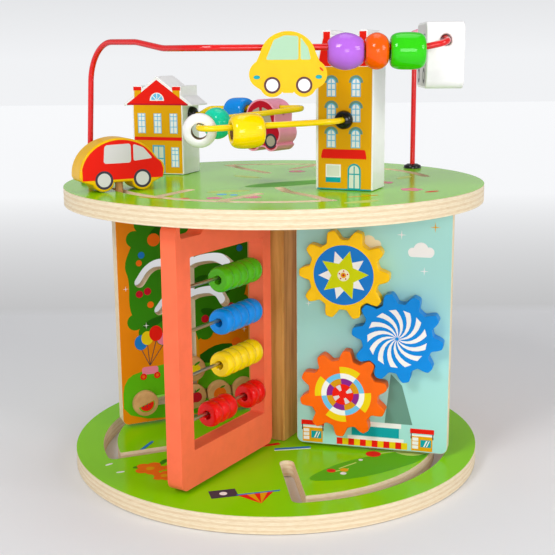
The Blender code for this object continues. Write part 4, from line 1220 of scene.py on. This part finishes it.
def bothFaces(name, body, place, thick, prints, slot):
    for word, face in zip(("Near", "Far"), faces(place, thick)):
        printed(name + "Print" + word, body, face, prints, slot=slot)


def hungBlock(name, node, route, x, y, outline, block, paint, slot, prints):
    # Block drawn upright and flat, then hung on its wire by the bore.
    drawn = threadPlace(route, x, y, bead["blockBore"])
    drawn = drawn @ Matrix.Rotation(math.pi / 2, 4, "X") @ shift(0, -block["bore"])
    cutter = roundCutter(bead["blockBore"], 80, shift(0, block["bore"]) @ lying, 32)
    half = block["thick"] / 2
    plates(name, node, drawn, paint, [(outline, -half, half)], cutter, (1.0, 3), replaced=(node,), slot=slot)
    bothFaces(name, node, drawn, block["thick"], prints, slot)


yellowCar = {"thick": 21, "bore": 28.4}
outline = carOutline(length=47.4, height=39.2, wheel=7.6, reach=9.7, cabin=34, belly=2.5)
bigPane = filleted([(-13.4, 22.3), (6.3, 22.3), (6.3, 36.2), (-2, 36.8), (-8.6, 34)], 1.4)
smallPane = filleted([(7.6, 22.3), (13.8, 22.3), (12.2, 29.4), (7.6, 35.6)], 1.2)
carPrints = [(pane, [bigPane, smallPane]), (aquaInk, spots((-19, 12, 2.0, 0.6), (18.6, 12, 2.0, 0.6))),
             (scarlet, [leafShape(20.2, 16.6, 3.2, -45)])] + wheelPrints(7.2, 9.7, 5.0, 3.7, tyreBrown, white)
hungBlock("yellowCar", "yellow_car", redRoute, 9.2, line, outline, yellowCar, carYellow, "yellow_lacquer",
          carPrints)

pinkCar = {"thick": 20, "bore": 29}
outline = carOutline(length=34, height=37, wheel=7, reach=8.2, cabin=27)
carPrints = [(crimson, [shrunk(outline, 1.2)]),
             (taupe, [filleted([(-10, 19.5), (-1.2, 19.5), (-1.2, 31.5), (-7.4, 29)], 1.4),
                      filleted([(1.2, 19.5), (10, 19.5), (7.4, 29), (1.2, 31.5)], 1.4)])]
carPrints += wheelPrints(7.4, 8.2, 5.4, 3.8, slate, taupe)
hungBlock("pinkCar", "pink_car", yellowRoute, -4, 4.5, outline, pinkCar, pinkPaint, "pink_lacquer", carPrints)

whiteBlock = {"length": 49, "height": 41.5, "thick": 24, "bore": 30}
outline = roundBox(whiteBlock["length"], whiteBlock["height"], 6, 0, whiteBlock["height"] / 2, 8)
blockPrints = [(silver, [shrunk(outline, 1.5)]), (seaGrey, [bar(-17, 17, 31, 34)]),
               (pane, [bar(-17, 17, 16, 27)]), (white, [bar(-6.4, -5.2, 16, 27), bar(5.2, 6.4, 16, 27)]),
               (slate, spots((-12, 8, 5), (12, 8, 5))), (silver, spots((-12, 8, 2.6), (12, 8, 2.6)))]
hungBlock("whiteBlock", "white_block", redRoute, rightFoot[0], -64.5, outline, whiteBlock, whitePaint,
          "white_lacquer", blockPrints)

deckCar = {"belly": 6, "thick": 20, "peg": 3, "pegHole": 36.6}


def domedOutline(length, height, wheel, reach, belly):
    # Two wheel rounds below, one long dome from the rear and a low round nose.
    half, tail, nose, sill = length / 2, 4.5, 7.5, 11
    rear = arc(-reach, wheel, wheel, 205, 335, 12)
    front = arc(reach, wheel, wheel, 205, 335, 12)
    rear[-1], front[0] = (rear[-1][0], belly), (front[0][0], belly)
    dome = [(x * (half - 1.5) - 1.5, sill + y * (height - sill)) for x, y in arc(0, 0, 1, 26, 172, 28)]
    bonnet = arc(half - nose, sill + 2.5, nose, -60, 72, 12)
    return rear + front + bonnet + dome + arc(tail - half, sill, tail, 180, 245, 8)


x, y = polar(deckSlot["radius"], -155)
place = placeAt(x, y, deckTop + seatGap, heading(27))
outline = domedOutline(length=60, height=35.5, wheel=8, reach=13.6, belly=deckCar["belly"])
upright = Matrix.Rotation(-math.pi / 2, 4, "X")
pegHole = roundCutter(deckCar["peg"], deckCar["pegHole"], shift(0, deckCar["belly"]) @ upright, 24)
half = deckCar["thick"] / 2
plates("deckCar", "deck_car", place, ochrePaint, [(outline, -half, half)], pegHole, (1.2, 3),
       replaced=("deck_car",), slot="yellow_lacquer")
hull = [(-28, 8), (28, 8), (28.6, 13.5), (27.2, 18), (24.4, 20.4)]
hull += [(x * 27.2 - 1.5, 11 + y * 23.2) for x, y in arc(0, 0, 1, 28, 168, 20)]
carPrints = [(scarlet, [hull]),
             (silver, [filleted([(-13.4, 18.8), (5.8, 18.8), (5.8, 31.6), (-12.4, 31)], 2.2),
                       filleted([(7.5, 19.8), (21, 21.2), (14.6, 28.6), (7.5, 31.2)], 1.6)])]
carPrints += wheelPrints(7.9, 13.4, 6.2, 4.6, slate, silver)
bothFaces("deckCar", "deck_car", place, deckCar["thick"], carPrints, "yellow_lacquer")
print("vehicles done")

# Floor, light and camera
shape = bmesh.new()
bmesh.ops.create_grid(shape, x_segments=1, y_segments=1, size=6)
floor = newObject("floor", meshOf("floor", shape))
floor.location = (0, 0, -0.0004)
# Floor: plain light grey near the stand. Farther off its colour is black and it glows instead, a painted
# backdrop glow with no lamp behind it.
floorFinish = newMaterial("floorFinish", tone(236, 236, 238), 0.5)
make, inputs, link = shaderOf(floorFinish)
spread = make("ShaderNodeTexCoord").outputs["Object"]
around = make("ShaderNodeVectorMath", {"operation": "LENGTH"}, i0=spread).outputs["Value"]
farther = worked(make, "MAXIMUM", separated(make, spread, "Y"), worked(make, "SUBTRACT", around, 0.6))
shade = remapped(make, farther, (0.4, 1.6))
black = (0, 0, 0, 1)
nearTone = ramp(make, shade, ((0.02, tone(236, 236, 238)), (0.05, black)))
# Painted glow of the far floor: darker grey nearest the stand, brightening to near white far away.
paintedBackdropGlow = ramp(make, shade, ((0.02, black), (0.05, tone(190, 190, 191)), (0.9, tone(241, 242, 244))))
link(nearTone, inputs["Base Color"])
link(paintedBackdropGlow, inputs["Emission Color"])
inputs["Emission Strength"].default_value = 1.0
floor.data.materials.append(floorFinish)

world = bpy.data.worlds.new("studio")
bpy.context.scene.world = world
world.use_nodes = True
backdrop = world.node_tree.nodes["Background"]
backdrop.inputs["Color"].default_value = (0.93, 0.94, 0.96, 1.0)
make = nodeMaker(world)
rise = separated(make, make("ShaderNodeTexCoord").outputs["Generated"], "Z")
glow = remapped(make, rise, (0.0, 0.3), (0.95, 0.36))
world.node_tree.links.new(glow, backdrop.inputs["Strength"])


def softLight(name, place, target, size, power):
    data = bpy.data.lights.new(name, "AREA")
    data.shape = "RECTANGLE"
    data.size, data.size_y = size
    data.energy = power
    lamp = newObject(name, data)
    lamp.location = place
    way = Vector(target) - Vector(place)
    lamp.rotation_euler = way.to_track_quat("-Z", "Y").to_euler()


softLight("keyLight", (-0.9, -1.2, 1.3), (0, 0, 0.15), (0.5, 0.5), 13)
softLight("fillLight", (1.3, -0.9, 0.8), (0, 0, 0.15), (0.6, 0.6), 8)
softLight("frontLight", (0.15, -1.7, 0.4), (0, 0, 0.1), (0.8, 0.5), 8)
softLight("topLight", (0.1, 0.3, 1.6), (0, 0, 0.2), (0.9, 0.9), 4)

view = {"place": (0, -0.7506, 0.2924), "yaw": 0.16, "pitch": 12.01, "roll": -0.46, "lens": 67.2}
yaw, pitch, roll = (math.radians(view[key]) for key in ("yaw", "pitch", "roll"))
ahead = Vector((math.sin(yaw) * math.cos(pitch), math.cos(yaw) * math.cos(pitch), -math.sin(pitch)))
across = Vector((math.cos(yaw), -math.sin(yaw), 0))
above = across.cross(ahead)
rightWay = across * math.cos(roll) + above * math.sin(roll)
upWay = above * math.cos(roll) - across * math.sin(roll)
cameraData = bpy.data.cameras.new("camera")
cameraData.lens = view["lens"]
cameraData.sensor_width = 36
camera = newObject("camera", cameraData)
turn = Matrix((rightWay, upWay, -ahead)).transposed().to_4x4()
camera.matrix_world = Matrix.Translation(view["place"]) @ turn
bpy.context.scene.camera = camera
bpy.context.scene.view_settings.view_transform = "Standard"
